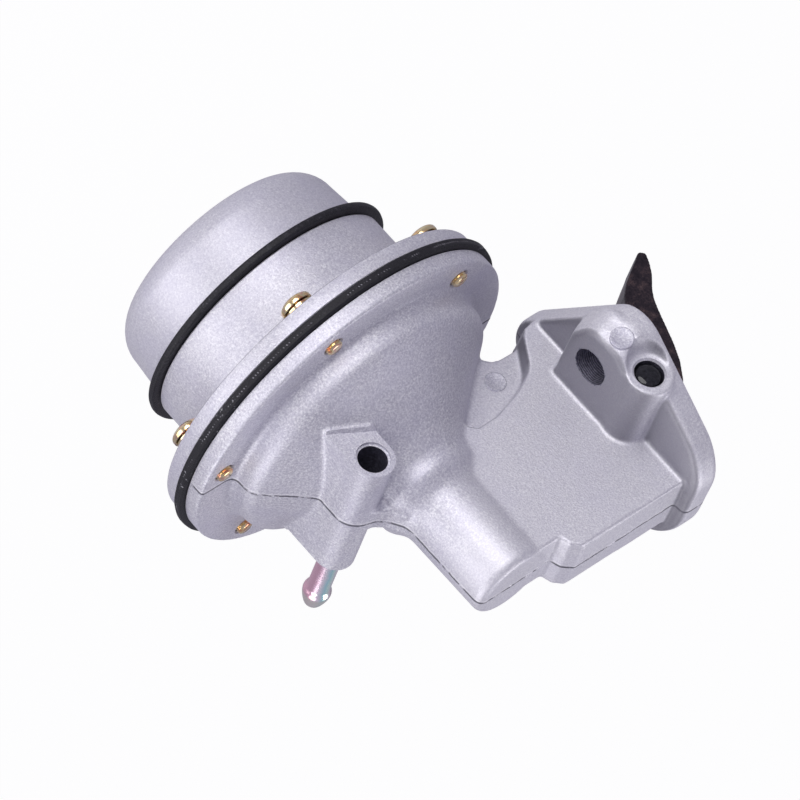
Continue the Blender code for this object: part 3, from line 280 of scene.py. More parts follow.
def clearZinc(name):  # the zinc coat's tints run across the tube from side to side, with a painted highlight in the light middle and painted shade at the dark far edge
    look = {"axisX": -82.3, "axisZ": -10.9, "beadY": -42.4}
    g = Graph(name)
    x, y, z = g.part(0) - look["axisX"], g.part(1), g.part(2) - look["axisZ"]
    tintAndSheen = (x * 0.75 + z * 0.66) / 7.0 + 0.5 + (g.grain(3.0, 2.0) - 0.5) * 0.24 + y * 0.004
    colour = g.ramp(tintAndSheen, [(0.04, (0.80, 0.50, 0.62)), (0.18, (0.93, 0.70, 0.84)), (0.34, (0.90, 0.86, 0.94)),
                             (0.50, (0.52, 0.82, 0.88)), (0.62, (0.66, 0.88, 0.82)), (0.76, (0.88, 0.80, 0.86)),
                             (0.94, (0.42, 0.34, 0.33))])
    fine = g.grain(0.4, 2.0)
    bead = (look["beadY"] - y).fade(-0.6, 0.8)
    colour = g.blend(bead * 0.8, colour, (0.78, 0.77, 0.70))
    return g.finish(Base_Color=colour, Metallic=0.85, Roughness=0.16 + fine * 0.14, Normal=g.relief(fine, 0.03, 0.5))


def forgedSteel(name):
    g = Graph(name)
    scale = g.grain(3.2, 4.0, 0.6)
    fine = g.grain(0.45, 3.0, 0.6)
    colour = g.ramp(scale * 0.7 + fine * 0.3, [(0.34, (0.012, 0.010, 0.015)), (0.50, (0.034, 0.026, 0.034)),
                                               (0.62, (0.085, 0.058, 0.062)), (0.80, (0.20, 0.15, 0.16))])
    return g.finish(Base_Color=colour, Metallic=0.45, Roughness=0.20 + fine * 0.22, Specular_IOR_Level=0.25,
                    Normal=g.relief(scale * 0.6 + fine * 0.4, 0.22, 0.7))


def brightSteel(name, tint=(0.62, 0.62, 0.64), rough=0.22):
    g = Graph(name)
    fine = g.grain(0.5, 3.0)
    broad = g.grain(5.0, 2.0)
    dark = tuple(c * 0.72 for c in tint)
    light = tuple(min(1.0, c * 1.15) for c in tint)
    colour = g.ramp(fine * 0.5 + broad * 0.5, [(0.30, dark), (0.62, tint), (0.85, light)])
    return g.finish(Base_Color=colour, Metallic=0.95, Roughness=rough + fine * 0.15, Normal=g.relief(fine, 0.03, 0.5))


def glossBlack(name):
    g = Graph(name)
    fine = g.grain(0.8, 3.0)
    colour = g.ramp(fine, [(0.3, (0.006, 0.006, 0.009)), (0.8, (0.030, 0.030, 0.038))])
    return g.finish(Base_Color=colour, Metallic=0.3, Roughness=0.05 + fine * 0.06, Normal=g.relief(fine, 0.02, 0.4))


finishes = {
    "cast": castAluminium("castAluminium"),
    "castParting": castAluminium("castAluminiumParting", partingLine=True, shade=True),
    "castTurned": castAluminium("castAluminiumTurned", edgeLine=-47.93, grainDepth=0.8),
    "castFine": castAluminium("castAluminiumFine", grainDepth=0.6),
    "machined": machinedAluminium("machinedAluminium"),
    "bore": shadedBore("roughBoreShaded"),
    "hole": holeDark("deepHole"),
    "gasket": gasketRubber("gasketRubber"),
    "diaphragm": diaphragmRubber("fabricRubber"),
    "gold": yellowZinc("yellowZinc"),
    "zinc": clearZinc("clearZinc"),
    "forged": forgedSteel("forgedSteel"),
    "steel": brightSteel("brightSteel"),
    "wire": brightSteel("springWire", (0.42, 0.42, 0.45), 0.26),
    "brass": brightSteel("brassTrim", (0.78, 0.62, 0.34), 0.24),
    "bronze": brightSteel("bearingBronze", (0.60, 0.42, 0.25), 0.34),
    "black": glossBlack("glossBlack"),
}
print("finishes made:", len(finishes))


# modelling helpers

turns = {"X": Matrix.Rotation(pi / 2, 3, "Y"), "Y": Matrix.Rotation(-pi / 2, 3, "X"), "Z": Matrix.Identity(3)}


def keep(name, bm, sharp=32.0):
    mesh = bpy.data.meshes.new(name)
    bm.to_mesh(mesh)
    bm.free()
    piece = bpy.data.objects.new(name, mesh)
    scene.collection.objects.link(piece)
    mesh.shade_smooth()
    mesh.set_sharp_from_angle(angle=radians(sharp))
    return piece


def spun(name, profile, centre=(0, 0, 0), axis="Z", steps=128, sharp=32.0):
    # turn (radius, height) points about an axis through centre
    bm = bmesh.new()
    chain = [bm.verts.new((r / 1000, 0, h / 1000)) for r, h in profile]
    edges = [bm.edges.new(pair) for pair in zip(chain, chain[1:])]
    if profile[0][0] > 0 or profile[-1][0] > 0:
        edges.append(bm.edges.new((chain[-1], chain[0])))
    bmesh.ops.spin(bm, geom=chain + edges, cent=(0, 0, 0), axis=(0, 0, 1), angle=2 * pi, steps=steps, use_merge=True)
    bmesh.ops.remove_doubles(bm, verts=bm.verts, dist=1e-6)
    bmesh.ops.rotate(bm, verts=bm.verts, matrix=turns[axis])
    bmesh.ops.translate(bm, verts=bm.verts, vec=Vector(centre) / 1000)
    bmesh.ops.recalc_face_normals(bm, faces=bm.faces)
    return keep(name, bm, sharp)


def rounding(points, radii, segments=6):
    # a flat face whose corners are rounded to their radii
    bm = bmesh.new()
    verts = [bm.verts.new((p[0] / 1000, p[1] / 1000, 0)) for p in points]
    bm.faces.new(verts)
    bm.verts.ensure_lookup_table()
    reaches = []
    for i, radius in enumerate(radii):
        here = Vector(points[i])
        first = (Vector(points[i - 1]) - here).normalized()
        second = (Vector(points[(i + 1) % len(points)]) - here).normalized()
        half = first.angle(second) / 2
        reaches.append(radius / tan(half) / 1000)
    for vert, reach in zip(verts, reaches):
        if reach > 0:
            bmesh.ops.bevel(bm, geom=[vert], offset=reach, offset_type="OFFSET", affect="VERTICES", segments=segments,
                            profile=0.5, material=-1)
    return bm


def grown(points, amount):  # move outline points away from their middle
    middle = sum((Vector(p) for p in points), Vector((0, 0))) / len(points)
    return [tuple(Vector(p) + (Vector(p) - middle).normalized() * amount) for p in points]


def swept(name, bm, axis, start, end, bevel=0.0, segments=3, sharp=32.0):
    # push a flat outline along an axis; the two outline coordinates keep their order
    faces = list(bm.faces)
    made = bmesh.ops.extrude_face_region(bm, geom=faces, use_keep_orig=True)
    top = [v for v in made["geom"] if isinstance(v, bmesh.types.BMVert)]
    for v in bm.verts:
        v.co.z = start / 1000
    for v in top:
        v.co.z = end / 1000
    if axis == "X":
        spin = Matrix(((0, 0, 1), (1, 0, 0), (0, 1, 0)))
    elif axis == "Y":
        spin = Matrix(((1, 0, 0), (0, 0, 1), (0, 1, 0)))
    else:
        spin = Matrix.Identity(3)
    bmesh.ops.transform(bm, verts=bm.verts, matrix=spin.to_4x4())
    bmesh.ops.recalc_face_normals(bm, faces=bm.faces)
    if bevel:
        rims = [e for e in bm.edges if len(e.link_faces) == 2 and e.calc_face_angle(0) > radians(50)]
        bmesh.ops.bevel(bm, geom=rims, offset=bevel / 1000, offset_type="OFFSET", affect="EDGES", segments=segments,
                        profile=0.5, material=-1, clamp_overlap=True)
    return keep(name, bm, sharp)


def pin(name, axis, centre, radius, start, end, steps=48):
    return spun(name, [(0, start), (radius, start), (radius, end), (0, end)], centre, axis, steps)


def carve(piece, tools, operation="DIFFERENCE", solver="EXACT"):
    for tool in tools:
        change = piece.modifiers.new("cut", "BOOLEAN")
        change.operation = operation
        change.solver = solver
        change.object = tool
        graph = bpy.context.evaluated_depsgraph_get()
        result = bpy.data.meshes.new_from_object(piece.evaluated_get(graph))
        piece.modifiers.clear()
        piece.data = result
        bpy.data.objects.remove(tool, do_unlink=True)
    return piece


def fuse(name, parts):
    # one mesh of all the shells, still overlapping
    bm = bmesh.new()
    for part in parts:
        bm.from_mesh(part.data)
        bpy.data.objects.remove(part, do_unlink=True)
    return keep(name, bm)


def settle(piece, grid, passes):
    # melt the shells into one skin and soften its edges, as a die casting has them
    skin = piece.modifiers.new("skin", "REMESH")
    skin.mode = "VOXEL"
    skin.voxel_size = grid / 1000
    soft = piece.modifiers.new("soft", "SMOOTH")
    soft.factor = 0.5
    soft.iterations = passes
    graph = bpy.context.evaluated_depsgraph_get()
    result = bpy.data.meshes.new_from_object(piece.evaluated_get(graph))
    piece.modifiers.clear()
    piece.data = result
    return piece


def dress(piece, finish, body, *replaced, angle=30.0):
    piece.data.materials.clear()
    piece.data.materials.append(finishes[finish])
    piece.data.shade_smooth()
    piece.data.set_sharp_from_angle(angle=radians(angle))
    if body:
        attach(piece, body)
    if replaced:
        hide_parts(*replaced)
    print("made", piece.name, len(piece.data.polygons), "faces")
    return piece


def paintWhere(piece, finish, test):
    # give the faces that pass the test a second finish
    piece.data.materials.append(finishes[finish])
    slot = len(piece.data.materials) - 1
    for face in piece.data.polygons:
        if test(face.center * 1000, face.normal):
            face.material_index = slot


axisX = -62.0        # the axis of the round stack
sealZ = -43.4        # upper face of the valve body, under the diaphragm
screwCircle = 46.2
screwAngles = [radians(54 + 60 * i) for i in range(6)]
pivotAt = (-7.7, 0.0, 13.2)


def screwPlaces():
    return [(axisX + screwCircle * cos(a), screwCircle * sin(a)) for a in screwAngles]


# lower body

lowerBody = {
    "grid": 0.5, "soften": 3, "flangeR": 52.2, "seatZ": -40.1, "flangeTopZ": -35.4, "neckR": 15.5, "noseTopZ": 30.9,
    "wallHalf": 10.0, "draft": 0.4, "webHalf": 4.5, "saddleHalf": 4.2, "chamberHalf": 7.2,
    "boltY": 24.2, "boltHoleR": 5.35, "padX": -5.0, "plateDepth": 7.4, "plateFront": 1.2,
    "pinBossR": 7.0, "pinBossY": 33.0, "pinHoleR": 4.2, "threadR": 2.7, "flashY": -0.8, "flashHeight": 0.16,
    "ventX": -82.3, "ventZ": -10.9, "ventR": 6.0, "ventY": 23.0, "ventBoreR": 4.1, "nippleR": 3.475,
    "plate": [(-14.0, 40.6), (-42.2, -1.2), (0, -31.5), (42.2, -1.2), (18.4, 40.6)],
    "plateRounds": [17.2, 10.5, 10.3, 10.5, 17.2],
    "pad": [(7.6, -10.4), (28.0, -10.4), (36.4, -5.6), (37.3, 5.6), (32.2, 13.2), (7.6, 13.2)],
    "padRounds": [0, 5.0, 6.0, 4.5, 0, 0],
    "padSteps": [(0, -11.6), (0.55, -13.0), (1.3, -13.9), (2.3, -14.3)],  # inset and x, they melt into a round edge
    "footSteps": [(0.35, -10.4), (0.7, -9.2), (1.1, -8.0), (1.6, -7.0)],
    "web": [(-44.0, -16.0), (-33.0, -24.0), (-26.2, -28.2), (-24.5, -24.8), (-22.8, -23.0), (-20.8, -22.4),
            (-17.8, -22.2), (-13.0, -22.0), (-13.0, -10.0), (-41.0, -5.0)],
}


def coneShell(v, grow=0.0):
    seat, top = v["seatZ"], v["flangeTopZ"] + grow
    profile = [(0, seat - 1.2), (v["flangeR"], seat - 1.2), (v["flangeR"], top - 0.5), (v["flangeR"] - 0.5, top),
               (43.0, top), (41.7, top + 0.6), (41.2, top + 1.8), (41.0, top + 5.0), (40.5, top + 6.6),
               (39.4, top + 8.0), (36.5, top + 10.2), (32.0, top + 13.2), (26.0, top + 18.1), (21.0, top + 22.2),
               (19.2, top + 24.0), (17.6, top + 26.2), (16.1, top + 28.4), (15.5, top + 30.4), (15.4, top + 32.4),
               (14.6, top + 34.2), (13.4, top + 35.8), (12.5, top + 37.4), (12.1, top + 39.2),
               (11.9, 28.9), (11.3, 30.2), (10.2, v["noseTopZ"]), (0, v["noseTopZ"])]
    return spun("cone", [(max(0, r + grow) if r else 0, z) for r, z in profile], (axisX, 0, 0), steps=160)


def housingShell(v):
    neck = axisX + v["neckR"]
    outline = [(axisX, 1.6), (neck - 7.5, -12.6), (neck, -12.6), (neck + 0.8, -9.2), (neck + 3.0, -7.2),
               (neck + 10.2, -7.4), (neck + 17.1, -9.2), (neck + 21.5, -10.6), (neck + 25.7, -12.6),
               (neck + 28.3, -15.0), (neck + 30.9, -19.1), (neck + 33.1, -22.6), (neck + 35.0, -24.0),
               (neck + 38.4, -24.6), (-1.0, -23.4), (-1.0, 36.2), (-44.2, 35.8), (-47.0, 33.6), (-48.2, 30.3),
               (axisX, 30.3)]
    bm = rounding(outline, [0] * len(outline))
    made = bmesh.ops.extrude_face_region(bm, geom=list(bm.faces), use_keep_orig=True)
    top = [g for g in made["geom"] if isinstance(g, bmesh.types.BMVert)]
    base = [w for w in bm.verts if w not in top]
    for w in base:
        w.co.z = -v["wallHalf"] / 1000
    for w in top:
        w.co.z = v["wallHalf"] / 1000
    sides = [e for e in bm.edges if abs(e.verts[0].co.z - e.verts[1].co.z) > 0.01]
    bmesh.ops.subdivide_edges(bm, edges=sides, cuts=1)
    middle = [w for w in bm.verts if abs(w.co.z) < 1e-6]
    for w in middle:  # the draft of the die: widest on the parting plane
        near = [e.other_vert(w) for e in w.link_edges if abs(e.other_vert(w).co.z) < 1e-6]
        if len(near) == 2:
            along = (near[1].co - near[0].co).normalized()
            out = Vector((along.y, -along.x, 0))
            probe = w.co.xy - Vector((-0.030, 0.012))
            if out.xy.dot(probe) < 0:
                out = -out
            w.co += out * v["draft"] / 1000
    bmesh.ops.transform(bm, verts=bm.verts, matrix=Matrix(((1, 0, 0), (0, 0, 1), (0, 1, 0))).to_4x4())
    bmesh.ops.recalc_face_normals(bm, faces=bm.faces)
    return keep("housing", bm)


def plateShell(v):
    plate = rounding(v["plate"], v["plateRounds"], 10)
    shells = [swept("plate", plate, "X", -v["plateDepth"], v["plateFront"], bevel=1.9, segments=4)]
    for side in (1, -1):
        corners = [(side * y, z) for y, z in v["pad"]]
        for inset, x in v["padSteps"]:
            shells.append(swept("pad", rounding(grown(corners, -inset), v["padRounds"], 8), "X", x, v["padX"]))
        for grow, x in v["footSteps"]:
            shells.append(swept("foot", rounding(grown(corners, grow), v["padRounds"], 8), "X", x, v["padX"]))
    shells.append(pin("pinBoss", "Y", pivotAt, v["pinBossR"], -v["pinBossY"], v["pinBossY"], 64))
    return shells


def webShells(v):
    shells = [swept("web", rounding(v["web"], [0] * len(v["web"])), "Y", -v["webHalf"], v["webHalf"])]
    x, z, r, deep = v["ventX"], v["ventZ"], v["ventR"], v["flangeTopZ"] + 6
    bar = rounding([(x - r, deep), (x + r, deep), (x + r, z + r), (x - r, z + r)], [0, 0, r - 0.01, r - 0.01], 14)
    shells.append(swept("ventBar", bar, "Y", -v["ventY"] - 1.2, v["ventY"] + 1.2))
    neck, ridge = axisX - v["neckR"], z + r
    saddle = [(x - 1, ridge - 2), (axisX, ridge - 2), (axisX, ridge + 6.4), (neck + 2.8, ridge + 6.4),
              (neck, ridge + 2.7), (neck - 2.4, ridge + 1.0), (x - 1, ridge + 0.1)]
    shells.append(swept("saddle", rounding(saddle, [0] * 7), "Y", -v["saddleHalf"], v["saddleHalf"]))
    return shells


def raiseFlash(piece, plane, height):
    # a ragged ridge where the two halves of the die met
    bm = bmesh.new()
    bm.from_mesh(piece.data)
    for offset in (-0.45, -0.14, 0.14, 0.45):
        geom = list(bm.verts) + list(bm.edges) + list(bm.faces)
        bmesh.ops.bisect_plane(bm, geom=geom, dist=1e-6, plane_co=(0, (plane + offset) / 1000, 0), plane_no=(0, 1, 0))
    bm.normal_update()
    for v in bm.verts:
        off = abs(v.co.y * 1000 - plane)
        if off < 0.16 and abs(v.normal.y) < 0.6 and v.co.x < -0.009 and v.co.z > -0.036:
            rough = noise.noise(v.co * 260) + 0.5 * noise.noise(v.co * 900)
            v.co += v.normal * height / 1000 * max(0.15, 0.75 + 0.9 * rough)
    bm.to_mesh(piece.data)
    bm.free()


def makeLowerBody(v):
    shells = [coneShell(v), housingShell(v), *plateShell(v), *webShells(v)]
    body = settle(fuse("lowerBodyCasting", shells), v["grid"], 1)
    for side in (1, -1):
        r, y = v["pinBossR"], v["pinBossY"]
        flare = [(0, y), (r - 1.3, y), (r - 0.3, y + 1.5), (r + 1.2, y + 5.6), (r + 2.5, y + 9), (0, y + 9)]
        carve(body, [spun("flare", [(r, side * h) for r, h in flare], pivotAt, "Y", 64)], solver="MANIFOLD")
    settle(body, v["grid"], v["soften"])
    raiseFlash(body, v["flashY"], v["flashHeight"])
    print("lower body skin:", len(body.data.polygons), "faces")
    seat, top = v["seatZ"], v["flangeTopZ"]
    trims = [swept("trim", rounding([(-90, -90), (90, -90), (90, 90), (-90, 90)], [0] * 4), "X", 0, 30),
             spun("trim", [(0, seat - 20), (80, seat - 20), (80, seat), (0, seat)], (axisX, 0, 0), steps=64)]
    for side in (1, -1):  # square ends on the vent bar, down to the cone's skin
        x, z, r = v["ventX"], v["ventZ"], v["ventR"] + 3
        square = rounding([(x - r, z - 14), (x + r, z - 14), (x + r, z + r), (x - r, z + r)], [0] * 4)
        face = swept("trim", square, "Y", *sorted((side * v["ventY"], side * (v["ventY"] + 8))))
        trims.append(carve(face, [coneShell(v, 0.7)], solver="MANIFOLD"))
    carve(body, trims, solver="MANIFOLD")
    cavity = [(0, seat - 1), (37.7, seat - 1), (37.7, top + 2.8), (34.06, -24.84), (20.7, -16.4), (19.6, -15.4),
              (9.3, -15.4), (9.3, -9.8), (4.0, -9.8), (4.0, 2.4), (9.0, 2.4), (9.0, 28.1), (0, 28.1)]
    chamber = [(axisX, 2.4), (-50.0, -1.6), (-40.5, -4.0), (-25.5, -7.8), (-18.0, -9.5), (-14.0, -12.0),
               (-12.5, -17.2), (-9.0, -19.8), (1.0, -20.4), (1.0, 32.6), (-43.5, 32.6), (-45.8, 27.6), (axisX, 27.6)]
    cuts = [spun("cavity", cavity, (axisX, 0, 0), steps=96),
            swept("chamber", rounding(chamber, [0] * 13), "Y", -v["chamberHalf"], v["chamberHalf"])]
    for side in (1, -1):
        cuts.append(pin("bolt", "X", (0, side * v["boltY"], 0), v["boltHoleR"], -30, 10, 56))
        face = v["pinBossY"]
        lip = [(0, face - 0.5), (4.25, face - 0.5), (4.75, face + 0.05), (5.4, face + 3), (0, face + 3)]
        cuts.append(spun("lip", [(r, side * h) for r, h in lip], pivotAt, "Y", 56))
    cuts.append(pin("pinBore", "Y", pivotAt, v["pinHoleR"], -50, 50, 48))
    end, r = v["ventY"], v["ventBoreR"]
    bore = [(0, end - 17), (3.2, end - 17), (r, end - 15.5), (r, end - 0.9), (4.7, end - 0.85), (4.75, end + 2),
            (0, end + 2)]
    cuts.append(spun("ventBore", bore, (v["ventX"], 0, v["ventZ"]), "Y", 56))
    cuts.append(pin("nippleBore", "Y", (v["ventX"], 0, v["ventZ"]), v["nippleR"], -50, -9.7, 48))
    r = v["threadR"]
    for x, y in screwPlaces():
        thread = [(0, seat - 3), (r, seat - 3), (r, top - 0.5), (3.15, top + 0.02), (3.15, top + 2), (0, top + 2)]
        cuts.append(spun("tapped", thread, (x, y, 0), steps=32))
    carve(body, cuts, solver="MANIFOLD")
    return body


lower = makeLowerBody(lowerBody)
dress(lower, "castParting", "housing", "lower_body", angle=38)


def inHole(c, x, z, radius):  # beside the axis of a hole along Y
    return (c.x - x) ** 2 + (c.z - z) ** 2 < radius ** 2


def inBoltHole(c, v):
    off = (abs(c.y) - v["boltY"]) ** 2 + c.z ** 2 - v["boltHoleR"] ** 2
    return -14.4 < c.x < -0.1 and abs(off) < 1.4


v = lowerBody
paintWhere(lower, "machined", lambda c, n: c.x > -0.02 and n.x > 0.99)
# painted shade: the bolt holes are painted dark inside
paintWhere(lower, "bore", lambda c, n: inBoltHole(c, v))
paintWhere(lower, "hole", lambda c, n: 5.0 < c.y < 22.0 and inHole(c, v["ventX"], v["ventZ"], 4.25))
paintWhere(lower, "hole", lambda c, n: 13.0 < abs(c.y) < 32.2 and inHole(c, pivotAt[0], pivotAt[2], 4.4))


# ejector marks: low discs left by the die's pins

ejectorMarks = {  # place, facing and radius
    "web": ((-26.5, 4.5, -17.4), (0, 1, 0), 3.1),
    "boss": ((-9.9, 37.75, 2.6), (-0.17, 0.985, -0.03), 3.3),
    "height": 0.35,
}


def ejectorMark(name, place, normal, radius, height):
    profile = [(0, -1.2), (radius, -1.2), (radius, height - 0.18), (radius - 0.22, height), (radius - 0.7, height),
               (radius - 0.95, height - 0.1), (0, height - 0.06)]
    disc = spun(name, profile, steps=56)
    turn = Vector((0, 0, 1)).rotation_difference(Vector(normal)).to_matrix().to_4x4()
    disc.data.transform(Matrix.Translation(Vector(place) / 1000) @ turn)
    return dress(disc, "cast", "housing")


ejectorMark("webEjectorMark", *ejectorMarks["web"], ejectorMarks["height"])
ejectorMark("bossEjectorMark", *ejectorMarks["boss"], ejectorMarks["height"])


# valve body

valveBody = {
    "flangeR": 52.2, "flangeLow": -48.05, "bodyR": 37.6, "baseZ": -68.6, "portR": 6.2, "portBossR": 10.0,
    "portZ": -57.6, "ports": [(-68.0, -43.0, 15.0), (-35.0, -33.0, 20.0)],  # x, face and depth
    "valvesX": (-79.5, -41.5), "valvesY": 3.0, "valveHoleR": 9.1,
}


def makeValveBody(v):
    top, low, base, r = sealZ, v["flangeLow"], v["baseZ"], v["bodyR"]
    edge = v["flangeR"]
    outer = [(0, top), (51.8, top), (edge, top - 0.35), (edge, low + 0.55), (edge - 0.18, low + 0.16),
             (edge - 0.6, low), (r + 1.3, low), (r + 0.35, low - 0.35), (r, low - 1.3), (r, base + 0.35),
             (r - 0.35, base), (0, base)]
    body = spun("valveBodyCasting", outer, (axisX, 0, 0), steps=192)
    for x, face, depth in v["ports"]:
        wide = v["portBossR"]
        boss = [(0, face), (9.3, face), (9.8, face + 0.15), (wide, face + 0.6), (wide, face + depth),
                (0, face + depth)]
        carve(body, [spun("boss", boss, (x, 0, v["portZ"]), "Y", 64)], "UNION")
    dish = [(0, top + 1), (36.5, top + 1), (36.5, top - 1.0), (31.4, top - 7.2), (30.6, top - 7.6), (0, top - 7.6)]
    ring = [(7.2, base - 1), (34.2, base - 1), (34.2, -56.2), (33.6, -55.6), (7.8, -55.6), (7.2, -56.2)]
    chambers = spun("chambers", ring, (axisX, 0, 0), steps=96)
    left, right = axisX + 4.7, axisX + 7.7
    divider = rounding([(left, -50), (right, -50), (right, 50), (left, 50)], [0] * 4)
    carve(chambers, [swept("divider", divider, "Z", base - 2, -54.6)])
    cuts = [spun("dish", dish, (axisX, 0, 0), steps=96), chambers]
    for x, face, depth in v["ports"]:
        bore = [(0, face - 5), (6.9, face - 5), (6.9, face), (v["portR"], face + 0.7), (v["portR"], face + depth),
                (0, face + depth)]
        cuts.append(spun("port", bore, (x, 0, v["portZ"]), "Y", 56))
    for x in v["valvesX"]:
        cuts.append(pin("valveHole", "Z", (x, v["valvesY"], 0), v["valveHoleR"], -56.6, -50.0, 48))
    cuts.append(pin("boltHole", "Z", (axisX, 0, 0), 4.2, -90, -57.8, 40))
    for x, y in screwPlaces():
        cuts.append(pin("hole", "Z", (x, y, 0), 2.7, -55, -40, 28))
    return carve(body, cuts)


dress(makeValveBody(valveBody), "castTurned", "housing", "valve_body", angle=32)


# cover and its gasket

cover = {"rimZ": -71.3, "rimR": 35.9, "crownR": 34.9, "crownZ": -92.5, "round": 9.0, "wall": 3.0, "dish": 3.0}


def makeCover(v):
    rim, crown, big = v["rimZ"], v["crownZ"], v["round"]
    inner = big - v["wall"]
    middleR, middleZ = v["crownR"] - big, crown + big

    def arc(radius, steps):
        angles = [pi / 2 * i / steps for i in range(steps + 1)]
        return [(middleR + radius * cos(a), middleZ - radius * sin(a)) for a in angles]

    corner = arc(big, 12)
    inside = arc(inner, 6)[::-1]
    dish = crown + v["dish"]
    profile = [(4.2, rim), (8.0, rim), (8.0, dish + 3), (14.5, dish + 3)] + inside
    profile += [(v["rimR"] - 3.0, rim), (v["rimR"] - 0.3, rim), (v["rimR"], rim - 0.3), (v["rimR"] - 0.05, rim - 1.6)]
    profile += corner
    profile += [(15.4, crown), (14.2, crown + 0.35), (12.2, dish - 0.45), (11.2, dish), (4.6, dish), (4.2, dish + 0.4)]
    return spun("coverCasting", profile, (axisX, 0, 0), steps=192)


dress(makeCover(cover), "castFine", "housing", "top_cover", angle=28)

gasket = {"outer": 40.0, "inner": 4.2, "low": -71.0, "high": -68.9}
low, high, outer, inner = (gasket[k] for k in ("low", "high", "outer", "inner"))
ring = [(inner, low), (39.3, low), (39.8, low + 0.25), (outer, low + 0.8),
        (outer, high - 0.8), (39.8, high - 0.25), (39.3, high), (inner, high)]
dress(spun("coverGasket", ring, (axisX, 0, 0), steps=192), "gasket", "housing", "cover_gasket", angle=40)


# main diaphragm with its slightly uneven cut edge

diaphragm = {"outer": 53.9, "inner": 2.9, "low": -43.1, "high": -40.4, "waver": 0.16,
             "held": 36.2, "clamped": 30.6, "folds": 12}


def makeDiaphragm(v):
    low, high = v["low"], v["high"]
    edge = v["outer"]
    profile = [(v["held"], low), (edge - 0.5, low), (edge - 0.08, low + 0.35), (edge, low + 0.9),
               (edge - 0.12, low + 1.35), (edge, high - 0.9), (edge - 0.1, high - 0.3), (edge - 0.5, high),
               (v["held"], high)]
    sheet = spun("diaphragmRim", profile, (axisX, 0, 0), steps=256)
    for vert in sheet.data.vertices:
        arm = Vector((vert.co.x - axisX / 1000, vert.co.y, 0))
        if arm.length > 0.052:
            push = noise.noise(Vector((arm.normalized() * 6)) + Vector((0, 0, vert.co.z * 300)))
            vert.co += arm.normalized() * push * v["waver"] / 1000
    cuts = [pin("hole", "Z", (x, y, 0), 2.7, low - 2, high + 2, 24) for x, y in screwPlaces()]
    return carve(sheet, cuts)


def makeFold(v, index):  # one sector of the ring between the clamped and the held radius, built flat and fixed; in the pump this ring bends when the rod lifts
    bm = bmesh.new()
    span, turn = v["held"] - v["clamped"], 2 * pi / v["folds"]
    radii = [v["clamped"] + span * k / 8 for k in range(9)]
    loop = [(r, v["low"]) for r in radii] + [(r, v["high"]) for r in reversed(radii)]
    chain = [bm.verts.new((r / 1000, 0, z / 1000)) for r, z in loop]
    edges = [bm.edges.new((w, chain[i - 1])) for i, w in enumerate(chain)]
    bmesh.ops.spin(bm, geom=chain + edges, cent=(0, 0, 0), axis=(0, 0, 1), angle=turn, steps=6)
    bmesh.ops.holes_fill(bm, edges=[e for e in bm.edges if len(e.link_faces) == 1], sides=0)
    bmesh.ops.rotate(bm, verts=bm.verts, matrix=Matrix.Rotation(turn * index, 3, "Z"))
    bmesh.ops.translate(bm, verts=bm.verts, vec=(axisX / 1000, 0, 0))
    bmesh.ops.recalc_face_normals(bm, faces=bm.faces)
    fold = dress(keep(f"diaphragmFold{index + 1}", bm), "diaphragm", None, angle=40)
    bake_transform(fold)


dress(makeDiaphragm(diaphragm), "diaphragm", "housing", "main_diaphragm", angle=40)
low, high, outer, inner = (diaphragm[k] for k in ("low", "high", "clamped", "inner"))
centreSheet = [(inner, low), (outer, low), (outer, high), (inner, high)]
dress(spun("diaphragmCentre", centreSheet, (axisX, 0, 0), steps=72), "diaphragm", "rod", angle=40)
for i in range(diaphragm["folds"]):
    makeFold(diaphragm, i)


# pan-head screws with a cross recess, and their washers

screw = {"shankR": 2.4, "rootR": 2.08, "pitch": 0.62, "headR": 4.7, "headH": 2.9, "seatZ": -49.65, "tipZ": -34.2,
         "recess": 1.9, "threadEnd": -36.6}


def makeScrew(v, name, x, y, turn):
    seat, r, h, tip = v["seatZ"], v["headR"], v["headH"], v["tipZ"]
    dome = [(r * sin(a), seat - 0.9 - (h - 0.9) * cos(a)) for a in [pi / 2 * i / 9 for i in range(10)]]
    thread = []
    z = tip - 0.55
    while z > v["threadEnd"]:
        thread += [(v["shankR"], z), (v["rootR"], z - 0.26), (v["rootR"], z - 0.34), (v["shankR"], z - 0.6)]
        z -= v["pitch"]
    profile = dome + [(r, seat - 0.15), (r - 0.15, seat), (v["shankR"], seat), (v["shankR"], -37.4)] + thread[::-1]
    profile += [(2.1, tip - 0.2), (1.8, tip), (0, tip)]
    piece = spun(name, profile, (x, y, 0), steps=40)
    for spin in (0, pi / 2):
        bm = bmesh.new()
        bmesh.ops.create_cube(bm, size=0.001)
        bmesh.ops.scale(bm, verts=bm.verts, vec=(5.0, 1.0, 2 * v["recess"]))
        low = [w for w in bm.verts if w.co.z > 0]
        for w in low:
            w.co.x *= 0.35
            w.co.y *= 0.6
        bmesh.ops.rotate(bm, verts=bm.verts, matrix=Matrix.Rotation(turn + spin, 3, "Z"))
        bmesh.ops.translate(bm, verts=bm.verts, vec=(x / 1000, y / 1000, (seat - h) / 1000))
        carve(piece, [keep("recess", bm)])
    return piece


for i, (x, y) in enumerate(screwPlaces()):  # each screw is turned by another angle
    made = makeScrew(screw, f"flangeScrew{i + 1}", x, y, 0.35 + 0.83 * i)
    dress(made, "gold", "housing", f"flange_screw_{i + 1}", angle=40)
    low = screw["seatZ"] + 0.3
    washer = [(2.7, low), (4.15, low), (4.3, low + 0.15), (4.3, low + 0.85), (4.15, low + 1.0), (2.7, low + 1.0)]
    made = spun(f"lockWasher{i + 1}", washer, (x, y, 0), steps=40)
    dress(made, "gold", "housing", f"lock_washer_{i + 1}", angle=30)


# centre bolt of the cover

